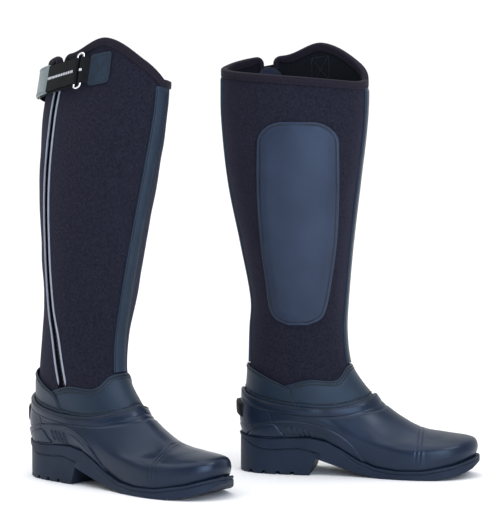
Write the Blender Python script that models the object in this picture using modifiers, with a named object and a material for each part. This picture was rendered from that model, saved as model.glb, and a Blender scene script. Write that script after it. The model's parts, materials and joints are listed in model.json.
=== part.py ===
"""A pair of tall winter riding boots. Each boot is an assembly: a moulded rubber foot on a heeled outsole,
a stitched ankle collar, a neoprene shaft with a long outer zip, a calf patch and an elastic top strap.

Metres, +Z up. In a boot's own frame the heel's rear is at x = 0, the toe points along +X, and the sole
stands on z = 0. The same functions make both boots: `side` is +1 where the outer side is +Y (left boot)
and -1 where it is -Y (right boot)."""

import math

import bmesh
import bpy
from mathutils import Quaternion, Vector

# ---- Driving dimensions -------------------------------------------------------------------------------

SOLE_LENGTH = 0.283
TUCK = 0.010  # neoprene below the collar's top edge
SHAFT_ROWS = 13
COLLAR_OFF = 0.0009  # collar's inner face off the neoprene
NEOPRENE = 0.0045  # shaft wall
LEATHER = 0.0012  # collar, strips and patch
RUBBER = 0.0030  # galosh wall
GAP = 0.0005  # between neighbouring faces
GALOSH_LIFT = 0.0021  # galosh's lower edge above the sole's top

# Neoprene's outer face: height, rear, front, half width
LEG = (
    (0.066, 0.0066, 0.1780, 0.0345),
    (0.078, 0.0080, 0.1655, 0.0350),
    (0.090, 0.0100, 0.1560, 0.0352),
    (0.104, 0.0115, 0.1440, 0.0362),
    (0.118, 0.0125, 0.1352, 0.0374),
    (0.132, 0.0130, 0.1292, 0.0392),
    (0.167, 0.0143, 0.1257, 0.0427),
    (0.202, 0.0163, 0.1272, 0.0488),
    (0.266, 0.0050, 0.1328, 0.0543),
    (0.340, -0.0095, 0.1416, 0.0567),
    (0.413, -0.0168, 0.1500, 0.0530),
    (0.462, -0.0172, 0.1512, 0.0470),
    (0.510, -0.0165, 0.1485, 0.0430),
)
LEAN_FROM = 0.110  # the shaft leans only above this height
LEAN_SPAN = 0.350

# Top edge of the shaft: degrees from the front towards the outer side, height
RIM = (
    (0, 0.457),
    (30, 0.479),
    (70, 0.504),
    (100, 0.488),
    (128, 0.483),
    (180, 0.471),
    (270, 0.461),
    (330, 0.455),
    (360, 0.457),
)

# Zip: height and angle of three points that its chain's circular arc goes through
ZIP_POINTS = ((0.452, 114), (0.290, 113), (0.112, 90))
ZIP_DEPTH = -0.0047  # of the chain's middle below the neoprene's outer face
TAPE_DEPTH = -0.0056
GUARD_DEPTH = -0.0092
ZIP_LOW = 0.108
ZIP_HIGH = 0.460
ZIP_GAP = 0.0075  # from the chain's middle to a panel's edge
TEETH_HALF = 0.0016
TEETH_UP = 0.0012  # chain's outer face off its middle, half its thickness
TAPE_REACH = (0.0026, 0.0125)  # from the chain's middle
TAPE_ENDS = (0.104, 0.464)
TAPE_THICK = 0.0006
GUARD_HALF = 0.016
GUARD_ENDS = (0.118, 0.470)
GUARD_THICK = 0.0012
STOP_DROP = 0.0035  # bottom stop's middle below the chain's end
STOP_SIZE = (0.0044, 0.0050, 0.0026)
SLIDER_AT = 0.455
SLIDER_SIZE = (0.0046, 0.0085, 0.0024)
SLIDER_UP = 0.0031  # its middle off the chain's
SLIDER_TWIST = 16  # degrees it is turned on the chain, half of what the tape twists on its way down
PULLER_SIZE = (0.0036, 0.0125, 0.0010)
HINGE_UP = 0.0052  # puller's hinge off the chain's middle
HINGE_ALONG = 0.0030  # and above the slider's
PIPING = 0.0012  # its radius
PIPING_ASIDE = 0.0055  # from the chain's middle
PIPING_LOW = 0.1155
PIPING_HIGH = 0.4715
PIPING_STEPS = 18

# Sole, from rear to toe: x, height of its top edge; x, height of its underside
SOLE_TOP = (
    (0.000, 0.046),
    (0.012, 0.042),
    (0.040, 0.041),
    (0.063, 0.043),
    (0.087, 0.044),
    (0.108, 0.040),
    (0.125, 0.031),
    (0.145, 0.019),
    (0.165, 0.012),
    (0.190, 0.0095),
    (0.221, 0.0105),
    (0.255, 0.0165),
    (0.283, 0.0250),
)
SOLE_UNDER = (
    (0.000, 0.000),
    (0.0875, 0.000),
    (0.0945, 0.020),
    (0.120, 0.0115),
    (0.145, 0.0040),
    (0.170, 0.0000),
    (0.236, 0.0000),
    (0.262, 0.0050),
    (0.276, 0.0110),
    (0.283, 0.0170),
)
# Sole outline: degrees round it from the toe, half width divided by the sine of that angle
SOLE_WIDTH = (
    (0, 0.072),
    (30, 0.068),
    (60, 0.0575),
    (90, 0.0400),
    (120, 0.0430),
    (150, 0.0560),
    (180, 0.0620),
)
WELT = 0.004  # sole edge beyond the galosh
TREAD = 0.0035  # depth of the heel's notches
TREAD_X = (0.016, 0.033, 0.050, 0.067)
NOTCH_LENGTH = 0.006
NOTCH_WIDTH = 0.120
SOLE_TIP = 0.0008  # trimmed off each end of the outline
SOLE_STATIONS = (0.050, 0.075, 0.206)
ROUNDING = (0.0025, 0.006, 0.013, 0.024)  # stations near a plate's rounded ends

# Inside the galosh, heights above the sole's top edge
SHANK_TOP = 0.0018
SHANK_HALF = 0.008
SHANK_ENDS = (0.050, 0.160)
BOARD_TOP = 0.0045
BOARD_INSET = WELT + RUBBER + 0.003
BED_TOP = 0.0085
BED_INSET = WELT + RUBBER + 0.007
BOARD_END = 0.002  # board's and footbed's ends inside their own outline
BED_END = 0.006

SPUR_LOW = 0.068
SPUR_HIGH = 0.083
SPUR_DEGREES = (162, 171, 180, 189, 198)
SPUR_OUT = 0.0040
SPUR_END = 0.0012  # how far its two ends stand out

# Galosh top band: degrees from the front, height of its lower edge
BAND = ((0, 0.081), (40, 0.075), (75, 0.070), (120, 0.075), (180, 0.088))
BAND_HEIGHT = 0.0095
BAND_OUT = LEATHER + COLLAR_OFF + 1.3 * GAP + RUBBER  # its outer face off the neoprene, over the vamp
BAND_STEP = LEATHER + 1.5 * GAP  # more than that, over the counter

# Ankle collar's top edge over the vamp and over the heel: degrees from the front, height
VAMP_TOP = ((0, 0.127), (22, 0.125), (50, 0.111), (80, 0.112), (105, 0.105), (125, 0.097))
COUNTER_TOP = ((96, 0.092), (102, 0.101), (115, 0.109), (145, 0.121), (180, 0.127))
VAMP_REACH = 118  # degrees from the front on each side
COUNTER_REACH = 97
COUNTER_SWEEP = (0, 0, 1, 2, 5)  # degrees its front edge falls back, row by row
COLLAR_LIFT = 0.001  # collar's lower edge above the band's

STRIP_HALF = 0.0105
STRIP_OFF = 0.0008  # strip's and patch's inner face off the neoprene
BINDING_DROP = 0.0085  # how far the binding reaches down from the shaft's top edge
BINDING_ROOM = 0.0009  # between the binding and the neoprene that it wraps
PATCH_TOP = 0.4135
PATCH_LOW = 0.179
# Calf patch edges on the inner side: height, rear x, front x
PATCH_EDGES = (
    (0.179, 0.056, 0.092),
    (0.186, 0.046, 0.102),
    (0.200, 0.040, 0.109),
    (0.224, 0.036, 0.114),
    (0.278, 0.029, 0.1205),
    (0.340, 0.026, 0.1225),
    (0.385, 0.026, 0.1225),
    (0.403, 0.032, 0.117),
    (0.4135, 0.050, 0.100),
)

STRAP_WIDTH = 0.032
STRAP_REAR = 157  # degrees to the free end
STRAP_SEWN = 167  # degrees to the sewn end
STRAP_RING = 87
STRAP_FRONT = 62
RING_HALF = 2.8  # degrees from its middle to a long side
RING_BAR = 0.0014  # radius
RING_ROOM = 0.0020  # from the under-run's outer face to the ring's middle
STRAP_Z = ((60, 0.4735), (87, 0.4670), (118, 0.4580), (168, 0.4480))
RUN_OUT = 0.0046  # under-run's inner face off the neoprene
STRAP_THICK = 0.0018
PAD = 0.0012  # hook-and-loop pad
PAD_WIDTH = 0.8 * STRAP_WIDTH
PAD_REAR = 150
TAB_START = 122
TAB_WIDTH = 1.03 * STRAP_WIDTH
BAR_ROOM = 1.6  # degrees from a bar's middle to the elastic's end
RING_OVER = 0.0030  # ring beyond each edge of the strap
PATCH_WIDTH = STRAP_WIDTH + 0.003
PATCH_END = 81

# Each boot's place on the floor, its turn, and how far its shaft leans over LEAN_SPAN. The two places
# put the origin under the middle of the pair's bounding box.
RIGHT_BOOT = {
    "name": "right",
    "side": -1,
    "place": (-0.25393, 0.06434),
    "yaw": -39,
    "forward": 0.020,
    "inward": 0.031,
}
LEFT_BOOT = {
    "name": "left",
    "side": 1,
    "place": (-0.01693, 0.08834),
    "yaw": -9,
    "forward": 0.0,
    "inward": 0.018,
}


# ---- Curves and surfaces -------------------------------------------------------------------------------


def smooth(knots, at):
    """The values at `at` on a smooth curve through rows of (key, value, ...)."""
    keys = [row[0] for row in knots]
    at = min(max(at, keys[0]), keys[-1])
    i = max(1, min(len(keys) - 1, sum(key < at for key in keys)))
    x0, x1 = keys[i - 1], keys[i]
    f = (at - x0) / (x1 - x0)
    found = []
    for column in range(1, len(knots[0])):

        def slope(k):
            lo, hi = max(0, k - 1), min(len(keys) - 1, k + 1)
            return (knots[hi][column] - knots[lo][column]) / (keys[hi] - keys[lo])

        y0, y1 = knots[i - 1][column], knots[i][column]
        m0, m1 = slope(i - 1) * (x1 - x0), slope(i) * (x1 - x0)
        found.append(
            y0 * (2 * f**3 - 3 * f**2 + 1)
            + m0 * (f**3 - 2 * f**2 + f)
            + y1 * (3 * f**2 - 2 * f**3)
            + m1 * (f**3 - f**2)
        )
    return found if len(found) > 1 else found[0]


def linear(knots, at):
    """The same, on straight lines."""
    for (x0, y0), (x1, y1) in zip(knots, knots[1:]):
        if at <= x1:
            return y0 + (y1 - y0) * max(0.0, at - x0) / (x1 - x0)
    return knots[-1][1]


def ease(at, start, end):
    f = min(max((at - start) / (end - start), 0.0), 1.0)
    return f * f * (3 - 2 * f)


def fold(degrees):
    """An angle from the front, the same on both sides of the boot."""
    degrees = degrees % 360
    return min(degrees, 360 - degrees)


def leg_centre(boot, z):
    rear, front, half = smooth(LEG, z)
    lean = max(0.0, z - LEAN_FROM) / LEAN_SPAN
    centre = Vector(((rear + front) / 2 + boot["forward"] * lean, -boot["side"] * boot["inward"] * lean, z))
    return centre, (front - rear) / 2, half


def leg_face(boot, degrees, z):
    centre, deep, half = leg_centre(boot, z)
    t = math.radians(degrees)
    return centre + Vector((deep * math.cos(t), boot["side"] * half * math.sin(t), 0))


def leg(boot, degrees, z, out=0.0):
    """The point `out` beyond the neoprene's outer face."""
    point = leg_face(boot, degrees, z)
    if not out:
        return point
    around = leg_face(boot, degrees + 0.5, z) - leg_face(boot, degrees - 0.5, z)
    up = leg_face(boot, degrees, z + 0.001) - leg_face(boot, degrees, z - 0.001)
    return point + out * boot["side"] * around.cross(up).normalized()


def degrees_per_metre(boot, degrees, z):
    """How far a metre along the neoprene's circumference turns."""
    _, deep, half = leg_centre(boot, z)
    t = math.radians(degrees)
    return math.degrees(1 / math.hypot(deep * math.sin(t), half * math.cos(t)))


def feather(degrees, beyond=0.0):
    """The sole's outline, in plan and as if its outer side were +Y."""
    t = math.radians(degrees)
    half = smooth(SOLE_WIDTH, fold(degrees))
    length = SOLE_LENGTH / 2 + beyond
    x = SOLE_LENGTH / 2 + length * math.cos(t)
    toe_in = 0.004 * ease(x, 0.12, 0.26)
    return x, (half + beyond) * math.sin(t) - toe_in


# A galosh profile's share of the way in and up: over the toe, and at the side
TOE_PROFILE = (
    (0.00, 0.00, 0.00),
    (0.12, -0.02, 0.20),
    (0.26, 0.04, 0.36),
    (0.45, 0.32, 0.44),
    (0.65, 0.58, 0.52),
    (0.83, 0.80, 0.73),
    (1.00, 1.00, 1.00),
)
SIDE_BULGE = 0.0035


def band_out(degrees):
    return BAND_OUT + BAND_STEP * ease(fold(degrees), 78, 93)


def foot_face(boot, degrees, v):
    """The galosh's outer face: v is 0 at the sole and 1 at the band's lower edge."""
    x, y = feather(degrees, -WELT)
    low = Vector((x, boot["side"] * y, sole_top(x) + GALOSH_LIFT))
    high = leg(boot, degrees, smooth(BAND, fold(degrees)), band_out(degrees))
    inward, upward = smooth(TOE_PROFILE, v)
    over_toe = 1 - ease(fold(degrees), 38, 105)
    inward = inward * over_toe + (v - 0.25 * math.sin(math.pi * v) * v) * (1 - over_toe)
    upward = upward * over_toe + v * (1 - over_toe)
    point = low + (high - low) * inward
    point.z = low.z + (high.z - low.z) * upward
    t = math.radians(degrees)
    swell = SIDE_BULGE * math.sin(math.pi * v) * (1 - over_toe)
    return point + swell * Vector((math.cos(t), boot["side"] * math.sin(t), 0))


def zip_arc(boot):
    """Centre, axis and radius of the circle that the zip's chain and slider follow."""
    top, middle, low = (leg(boot, degrees, z, ZIP_DEPTH) for z, degrees in ZIP_POINTS)
    a, b = top - middle, low - middle
    axis = a.cross(b)
    centre = middle + (b * a.length_squared - a * b.length_squared).cross(axis) / (2 * axis.length_squared)
    return centre, axis.normalized(), (top - centre).length


def zip_line(boot, z):
    """The chain's middle at a height, as an angle and a distance from the neoprene's outer face."""
    centre, axis, radius = boot["arc"]
    across = axis.cross(Vector((0, 0, 1))).normalized()
    if (leg(boot, ZIP_POINTS[1][1], ZIP_POINTS[1][0]) - centre).dot(across) < 0:
        across = -across
    up = across.cross(axis)
    up = up if up.z > 0 else -up
    rise = (z - centre.z) / up.z
    point = centre + up * rise + across * math.sqrt(radius**2 - rise**2)
    middle, deep, half = leg_centre(boot, z)
    local = point - middle
    degrees = math.degrees(math.atan2(boot["side"] * local.y / half, local.x / deep))
    face = leg_face(boot, degrees, z)
    normal = leg(boot, degrees, z, 0.001) - face
    return degrees, (point - face).dot(normal) / normal.length


# ---- Mesh helpers --------------------------------------------------------------------------------------


def make_material(name, colour, roughness, metallic=0.0):
    material = bpy.data.materials.new(name)
    material.use_nodes = True
    shader = material.node_tree.nodes["Principled BSDF"]
    shader.inputs["Base Color"].default_value = (*colour, 1)
    shader.inputs["Roughness"].default_value = roughness
    shader.inputs["Metallic"].default_value = metallic
    material.diffuse_color = (*colour, 1)
    return material


def add_object(boot, name, mesh, material, parent):
    obj = bpy.data.objects.new(f"{boot['name']}_{name}", mesh)
    boot["collection"].objects.link(obj)
    obj.data.materials.append(material)
    obj.parent = parent
    obj.location = -Vector(parent["local"])
    return obj


def add_sheet(boot, name, rows, thickness, material, parent, ring=False):
    """A grid of points on an outer face, made solid inwards. Rows run upwards and columns from the front
    towards the outer side; a ring's last column joins its first."""
    bm = bmesh.new()
    grid = [[bm.verts.new(point) for point in row] for row in rows]
    count = len(grid[0])
    for low, high in zip(grid, grid[1:]):
        for j in range(count if ring else count - 1):
            k = (j + 1) % count
            corners = (low[j], low[k], high[k], high[j])
            bm.faces.new(corners if boot["side"] > 0 else corners[::-1])
    mesh = bpy.data.meshes.new(name)
    bm.to_mesh(mesh)
    bm.free()
    mesh.shade_smooth()
    mesh.set_sharp_from_angle(angle=math.radians(40))
    obj = add_object(boot, name, mesh, material, parent)
    wall = obj.modifiers.new("Wall", "SOLIDIFY")
    wall.thickness = thickness
    wall.offset = -1
    return obj


def add_loft(boot, name, sections, material, parent, closed=False):
    """Skin over sections with equally many points; its ends are capped unless it closes on itself."""
    bm = bmesh.new()
    rings = [[bm.verts.new(point) for point in section] for section in sections]
    pairs = list(zip(rings, rings[1:])) + ([(rings[-1], rings[0])] if closed else [])
    for one, two in pairs:
        for j in range(len(one)):
            k = (j + 1) % len(one)
            bm.faces.new((one[j], one[k], two[k], two[j]))
    if not closed:
        bm.faces.new(rings[0])
        bm.faces.new(rings[-1])
    bmesh.ops.recalc_face_normals(bm, faces=bm.faces)
    mesh = bpy.data.meshes.new(name)
    bm.to_mesh(mesh)
    bm.free()
    mesh.shade_smooth()
    mesh.set_sharp_from_angle(angle=math.radians(40))
    return add_object(boot, name, mesh, material, parent)


def add_tube(boot, name, points, radius, material, parent):
    """A round bead along points."""
    curve = bpy.data.curves.new(name, "CURVE")
    curve.dimensions = "3D"
    curve.bevel_depth = radius
    curve.bevel_resolution = 1
    curve.use_fill_caps = True
    spline = curve.splines.new("POLY")
    spline.points.add(len(points) - 1)
    for target, point in zip(spline.points, points):
        target.co = (*point, 1)
    return add_object(boot, name, curve, material, parent)


def add_box(boot, name, centre, size, axes, material, parent, bevel=0.0004):
    """A block centred on a point, with its sides along three axes."""
    bm = bmesh.new()
    bmesh.ops.create_cube(bm, size=1)
    for vert in bm.verts:
        x, y, z = (vert.co[i] * size[i] for i in range(3))
        vert.co = centre + axes[0] * x + axes[1] * y + axes[2] * z
    if axes[0].cross(axes[1]).dot(axes[2]) < 0:
        bmesh.ops.reverse_faces(bm, faces=bm.faces)
    mesh = bpy.data.meshes.new(name)
    bm.to_mesh(mesh)
    bm.free()
    obj = add_object(boot, name, mesh, material, parent)
    if bevel:
        edge = obj.modifiers.new("Edge", "BEVEL")
        edge.width = bevel
        edge.segments = 1
    return obj


def add_empty(boot, name, place, parent=None):
    empty = bpy.data.objects.new(f"{boot['name']}_{name}", None)
    empty.empty_display_size = 0.02
    boot["collection"].objects.link(empty)
    empty["local"] = place
    empty.parent = parent
    empty.location = place - (Vector(parent["local"]) if parent else Vector())
    return empty


# ---- Foot ----------------------------------------------------------------------------------------------


def slab(boot, name, low, high, inset, ends, material, parent, stations=()):
    """A plate cut to the sole's outline, between two heights that vary along the boot."""
    start, end = ends
    half_length = SOLE_LENGTH / 2 - inset
    xs = {start, end} | {start + r for r in ROUNDING} | {end - r for r in ROUNDING}
    xs |= {x for x, *_ in SOLE_TOP if start < x < end} | set(stations)
    rows = []
    for x in sorted(xs):
        cosine = min(max((x - SOLE_LENGTH / 2) / half_length, -1), 1)
        degrees = math.degrees(math.acos(cosine))
        outer = boot["side"] * feather(degrees, -inset)[1]
        inner = boot["side"] * feather(-degrees, -inset)[1]
        rows.append([(x, inner, low(x)), (x, outer, low(x)), (x, outer, high(x)), (x, inner, high(x))])
    return add_loft(boot, name, rows, material, parent)


def sole_top(x):
    return linear(SOLE_TOP, x)


def make_outsole(boot, parent):
    def under(x):
        return linear(SOLE_UNDER, x)

    ends = (SOLE_TIP, SOLE_LENGTH - SOLE_TIP)
    stations = [x for x, _ in SOLE_UNDER if ends[0] < x < ends[1]] + list(SOLE_STATIONS)
    sole = slab(boot, "outsole", under, sole_top, 0, ends, boot["sole"], parent, stations)
    for i, x in enumerate(TREAD_X):
        bm = bmesh.new()
        bmesh.ops.create_cube(bm, size=1)
        for vert in bm.verts:
            vert.co = (x + vert.co.x * NOTCH_LENGTH, vert.co.y * NOTCH_WIDTH, vert.co.z * 2 * TREAD)
        mesh = bpy.data.meshes.new("notch")
        bm.to_mesh(mesh)
        bm.free()
        notch = bpy.data.objects.new(f"{boot['name']}_notch_cutter_{i + 1}", mesh)
        notch.hide_render = True
        notch.display_type = "WIRE"
        notch.parent = parent
        boot["cutters"].objects.link(notch)
        cut = sole.modifiers.new(f"Notch {i + 1}", "BOOLEAN")
        cut.operation = "DIFFERENCE"
        cut.object = notch


def make_foot(boot):
    frame = boot["frame"]
    make_outsole(boot, frame)
    columns = 36
    ring = [360 * j / columns for j in range(columns)]

    rows = [[foot_face(boot, degrees, v) for degrees in ring] for v, *_ in TOE_PROFILE]
    rows.append([leg(boot, d, smooth(BAND, fold(d)) + BAND_HEIGHT, band_out(d)) for d in ring])
    add_sheet(boot, "galosh", rows, RUBBER, boot["rubber"], frame, ring=True)

    sides = ((-SHANK_HALF, GAP), (SHANK_HALF, GAP), (SHANK_HALF, SHANK_TOP), (-SHANK_HALF, SHANK_TOP))
    start, end = SHANK_ENDS
    stations = [start] + [x for x, _ in SOLE_TOP if start < x < end] + [end]
    shank = [[(x, y, sole_top(x) + z) for y, z in sides] for x in stations]
    add_loft(boot, "steel_shank", shank, boot["steel"], frame)
    for name, low, high, inset, trim, material in (
        ("insole_board", SHANK_TOP + GAP, BOARD_TOP, BOARD_INSET, BOARD_END, boot["board"]),
        ("footbed", BOARD_TOP + GAP, BED_TOP, BED_INSET, BED_END, boot["lining"]),
    ):
        slab(
            boot,
            name,
            lambda x, rise=low: sole_top(x) + rise,
            lambda x, rise=high: sole_top(x) + rise,
            inset,
            (inset + BOARD_END, SOLE_LENGTH - inset - trim),
            material,
            frame,
        )

    # Spur rest: a small ledge at the rear of the galosh
    low, high = SPUR_LOW, SPUR_HIGH
    middle = low + 0.4 * (high - low)
    rows = []
    for degrees in SPUR_DEGREES:
        edge = SPUR_END if degrees in (SPUR_DEGREES[0], SPUR_DEGREES[-1]) else SPUR_OUT
        section = []
        for z, proud in ((low, GAP), (low, edge * 0.6), (middle, edge), (high, edge), (high, GAP)):
            v = (z - linear(SOLE_TOP, 0)) / (smooth(BAND, 180) - linear(SOLE_TOP, 0))
            t = math.radians(degrees)
            away = Vector((math.cos(t), boot["side"] * math.sin(t), 0))
            section.append(foot_face(boot, degrees, v) + away * (proud + GAP))
        rows.append(section)
    add_loft(boot, "spur_rest", rows, boot["black"], frame)


def make_collar(boot):
    frame = boot["frame"]
    inner = LEATHER + COLLAR_OFF
    rows = []
    columns = [-VAMP_REACH + 2 * VAMP_REACH * j / 26 for j in range(27)]
    for i in range(5):
        row = []
        for degrees in columns:
            low = smooth(BAND, fold(degrees)) + COLLAR_LIFT
            high = smooth(VAMP_TOP, fold(degrees))
            row.append(leg(boot, degrees, low + (high - low) * i / 4, inner))
        rows.append(row)
    add_sheet(boot, "vamp_collar", rows, LEATHER, boot["leather"], frame)

    outer = 2 * LEATHER + COLLAR_OFF + GAP
    rows = []
    for i in range(5):
        reach = COUNTER_REACH + COUNTER_SWEEP[i]
        row = []
        for j in range(19):
            degrees = reach + (360 - 2 * reach) * j / 18
            low = smooth(BAND, fold(degrees)) + COLLAR_LIFT
            high = smooth(COUNTER_TOP, fold(degrees))
            row.append(leg(boot, degrees, low + (high - low) * i / 4, outer))
        rows.append(row)
    add_sheet(boot, "counter_collar", rows, LEATHER, boot["leather"], frame)


# ---- Shaft ---------------------------------------------------------------------------------------------


def rim(degrees):
    return smooth(RIM, degrees % 360)


def shaft_low(degrees):
    """The neoprene's lower edge, tucked inside the collar."""
    flat = fold(degrees)
    return (smooth(VAMP_TOP, flat) if flat < 110 else smooth(COUNTER_TOP, flat)) - TUCK


def shaft_height(degrees, share):
    """A height between the shaft's lower and top edges; equal steps of `share` lie closer at the ankle."""
    low = shaft_low(degrees)
    return low + (rim(degrees) - low) * share**1.6


def beside_zip(boot, z, across):
    """The angle `across` metres from the chain's middle, towards the heel if positive."""
    degrees, _ = zip_line(boot, z)
    return degrees + across * degrees_per_metre(boot, degrees, z)


def make_panels(boot):
    ankle = boot["ankle"]
    seam = 1.5  # degrees, about a millimetre

    def panel(name, start, end, columns):
        """Start and end are angles as functions of height."""
        rows = []
        for i in range(SHAFT_ROWS + 1):
            row = []
            for j in range(columns + 1):
                share = j / columns
                degrees = start(0.3) * (1 - share) + end(0.3) * share
                for _ in range(3):
                    z = shaft_height(degrees, i / SHAFT_ROWS)
                    degrees = start(z) * (1 - share) + end(z) * share
                row.append(leg(boot, degrees, z))
            rows.append(row)
        add_sheet(boot, name, rows, NEOPRENE, boot["neoprene"], ankle)

    panel("lateral_front_panel", lambda z: seam, lambda z: beside_zip(boot, z, -ZIP_GAP), 12)
    panel("lateral_rear_panel", lambda z: beside_zip(boot, z, ZIP_GAP), lambda z: 180 - seam, 7)
    panel("medial_panel", lambda z: 180 + seam, lambda z: 360 - seam, 18)


def make_binding(boot):
    """A channel folded over the shaft's top edge, open at the zip."""
    start = beside_zip(boot, 0.474, ZIP_GAP + 0.001)
    end = beside_zip(boot, 0.474, -ZIP_GAP - 0.001) + 360
    skin, drop = LEATHER, BINDING_DROP
    sections = []
    count = 40
    for j in range(count + 1):
        degrees = start + (end - start) * j / count
        top = rim(degrees)
        near, far = BINDING_ROOM, BINDING_ROOM + skin
        inner_near, inner_far = -NEOPRENE - BINDING_ROOM, -NEOPRENE - BINDING_ROOM - skin
        section = (
            (near, top - drop),
            (far, top - drop),
            (far, top + BINDING_ROOM + skin),
            (inner_far, top + BINDING_ROOM + skin),
            (inner_far, top - drop),
            (inner_near, top - drop),
            (inner_near, top + BINDING_ROOM),
            (near, top + BINDING_ROOM),
        )
        sections.append([leg(boot, degrees, z, out) for out, z in section])
    add_loft(boot, "top_binding", sections, boot["binding"], boot["ankle"])


def make_strips(boot):
    for name, middle in (("shin_strip", 0), ("back_strip", 180)):
        low, high = shaft_low(middle) + TUCK + 0.0015, rim(middle) - BINDING_DROP - 0.0032
        heights = [shaft_height(middle, i / SHAFT_ROWS) for i in range(SHAFT_ROWS + 1)]
        rows = []
        for z in [low] + [z for z in heights if low + 0.002 < z < high - 0.002] + [high]:
            half = STRIP_HALF * degrees_per_metre(boot, middle, z)
            shares = (-1, -0.5, 0, 0.5, 1)
            rows.append([leg(boot, middle + half * share, z, STRIP_OFF + LEATHER) for share in shares])
        add_sheet(boot, name, rows, LEATHER, boot["leather"], boot["ankle"])


def make_patch(boot):
    rows = []
    count = 12
    for i in range(count + 1):
        z = PATCH_LOW + (PATCH_TOP - PATCH_LOW) * (1 - math.cos(math.pi * i / count)) / 2
        rear, front = smooth(PATCH_EDGES, z)
        row = []
        for j in range(9):
            x = rear + (front - rear) * j / 8
            centre, deep, _ = leg_centre(boot, z)
            degrees = 360 - math.degrees(math.acos((x - centre.x) / deep))
            row.append(leg(boot, degrees, z, STRIP_OFF + LEATHER))
        rows.append(row)
    add_sheet(boot, "calf_patch", rows, LEATHER, boot["leather"], boot["ankle"])


# ---- Zip -----------------------------------------------------------------------------------------------


def zip_frame(boot, z):
    """The chain's middle, and the directions across, along and out of it."""
    degrees, depth = zip_line(boot, z)
    point = leg(boot, degrees, z, depth)
    along = (leg(boot, *zip_line_at(boot, z + 0.002)) - leg(boot, *zip_line_at(boot, z - 0.002))).normalized()
    out = (leg(boot, degrees, z, 0.002) - leg(boot, degrees, z)).normalized()
    across = along.cross(out).normalized()
    return point, across, along, across.cross(along).normalized()


def slider_frame(boot):
    """The chain's middle at the slider, and the slider's directions across, along and out of it."""
    point, across, along, out = zip_frame(boot, SLIDER_AT)
    turn = Quaternion(along, -boot["side"] * math.radians(SLIDER_TWIST))
    return point, (turn @ across, along, turn @ out)


def zip_line_at(boot, z):
    degrees, depth = zip_line(boot, z)
    return degrees, z, depth


def zip_band(boot, name, start, end, low, high, face, thickness, material, count=15):
    """A flat band along the zip, from `start` to `end` metres beside the chain's middle. `face` gives its
    outer face off the neoprene's from the chain's."""
    rows = []
    for i in range(count + 1):
        z = low + (high - low) * i / count
        degrees, middle = zip_line(boot, z)
        turn = degrees_per_metre(boot, degrees, z)
        columns = 4 if end - start > 0.013 else 1 if end - start < 0.005 else 2
        row = []
        for j in range(columns + 1):
            aside = start + (end - start) * j / columns
            row.append(leg(boot, degrees + aside * turn, z, face(middle)))
        rows.append(row)
    return add_sheet(boot, name, rows, thickness, material, boot["ankle"])


def make_zip(boot):
    ankle = boot["ankle"]
    chain = ("zip_chain", -TEETH_HALF, TEETH_HALF, ZIP_LOW, ZIP_HIGH)
    zip_band(boot, *chain, lambda middle: middle + TEETH_UP, 2 * TEETH_UP, boot["teeth"])
    near, far = TAPE_REACH
    for name, start, end in (("zip_tape_front", -far, -near), ("zip_tape_rear", near, far)):
        tape = (name, start, end, *TAPE_ENDS)
        zip_band(boot, *tape, lambda middle: TAPE_DEPTH, TAPE_THICK, boot["tape"])
    guard = ("zip_guard", -GUARD_HALF, GUARD_HALF, *GUARD_ENDS)
    zip_band(boot, *guard, lambda middle: GUARD_DEPTH, GUARD_THICK, boot["guard"], 12)
    for name, aside in (("piping_front", -PIPING_ASIDE), ("piping_rear", PIPING_ASIDE)):
        points = []
        for i in range(PIPING_STEPS + 1):
            z = PIPING_LOW + (PIPING_HIGH - PIPING_LOW) * i / PIPING_STEPS
            points.append(leg(boot, beside_zip(boot, z, aside), z))
        add_tube(boot, name, points, PIPING, boot["piping"], ankle)

    low, across, along, out = zip_frame(boot, ZIP_LOW - STOP_DROP)
    add_box(boot, "zip_bottom_stop", low, STOP_SIZE, (across, along, out), boot["steel"], ankle)

    slider = add_empty(boot, "slider_axis", boot["arc"][0], ankle)
    point, axes = slider_frame(boot)
    across, along, out = axes
    add_box(boot, "zip_slider", point + out * SLIDER_UP, SLIDER_SIZE, axes, boot["steel"], slider)
    hinge = point + along * HINGE_ALONG + out * HINGE_UP
    pull = add_empty(boot, "puller_axis", hinge, slider)
    middle = hinge - along * (PULLER_SIZE[1] / 2 - 0.0003)
    add_box(boot, "zip_puller", middle, PULLER_SIZE, axes, boot["steel"], pull, 0.0002)


# ---- Strap ---------------------------------------------------------------------------------------------


def run_out(degrees):
    """Height of the under-run off the neoprene: it arches over the zip and is sewn down behind it."""
    sewn = GAP + LEATHER + 1.4 * GAP
    return RUN_OUT + (sewn - RUN_OUT) * ease(degrees, STRAP_REAR - 5, STRAP_SEWN - 3)


def strap_sheet(boot, name, reach, width, out, thickness, material, columns, parent=None):
    """A band round the shaft between two angles; `out` is its inner face off the neoprene."""
    start, end = reach
    rows = []
    for i in range(3):
        row = []
        for j in range(columns + 1):
            degrees = start + (end - start) * j / columns
            z = smooth(STRAP_Z, degrees) + width * (i / 2 - 0.5)
            off = out(degrees) if callable(out) else out
            row.append(leg(boot, degrees, z, off + thickness))
        rows.append(row)
    return add_sheet(boot, name, rows, thickness, material, parent or boot["ankle"])


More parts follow.
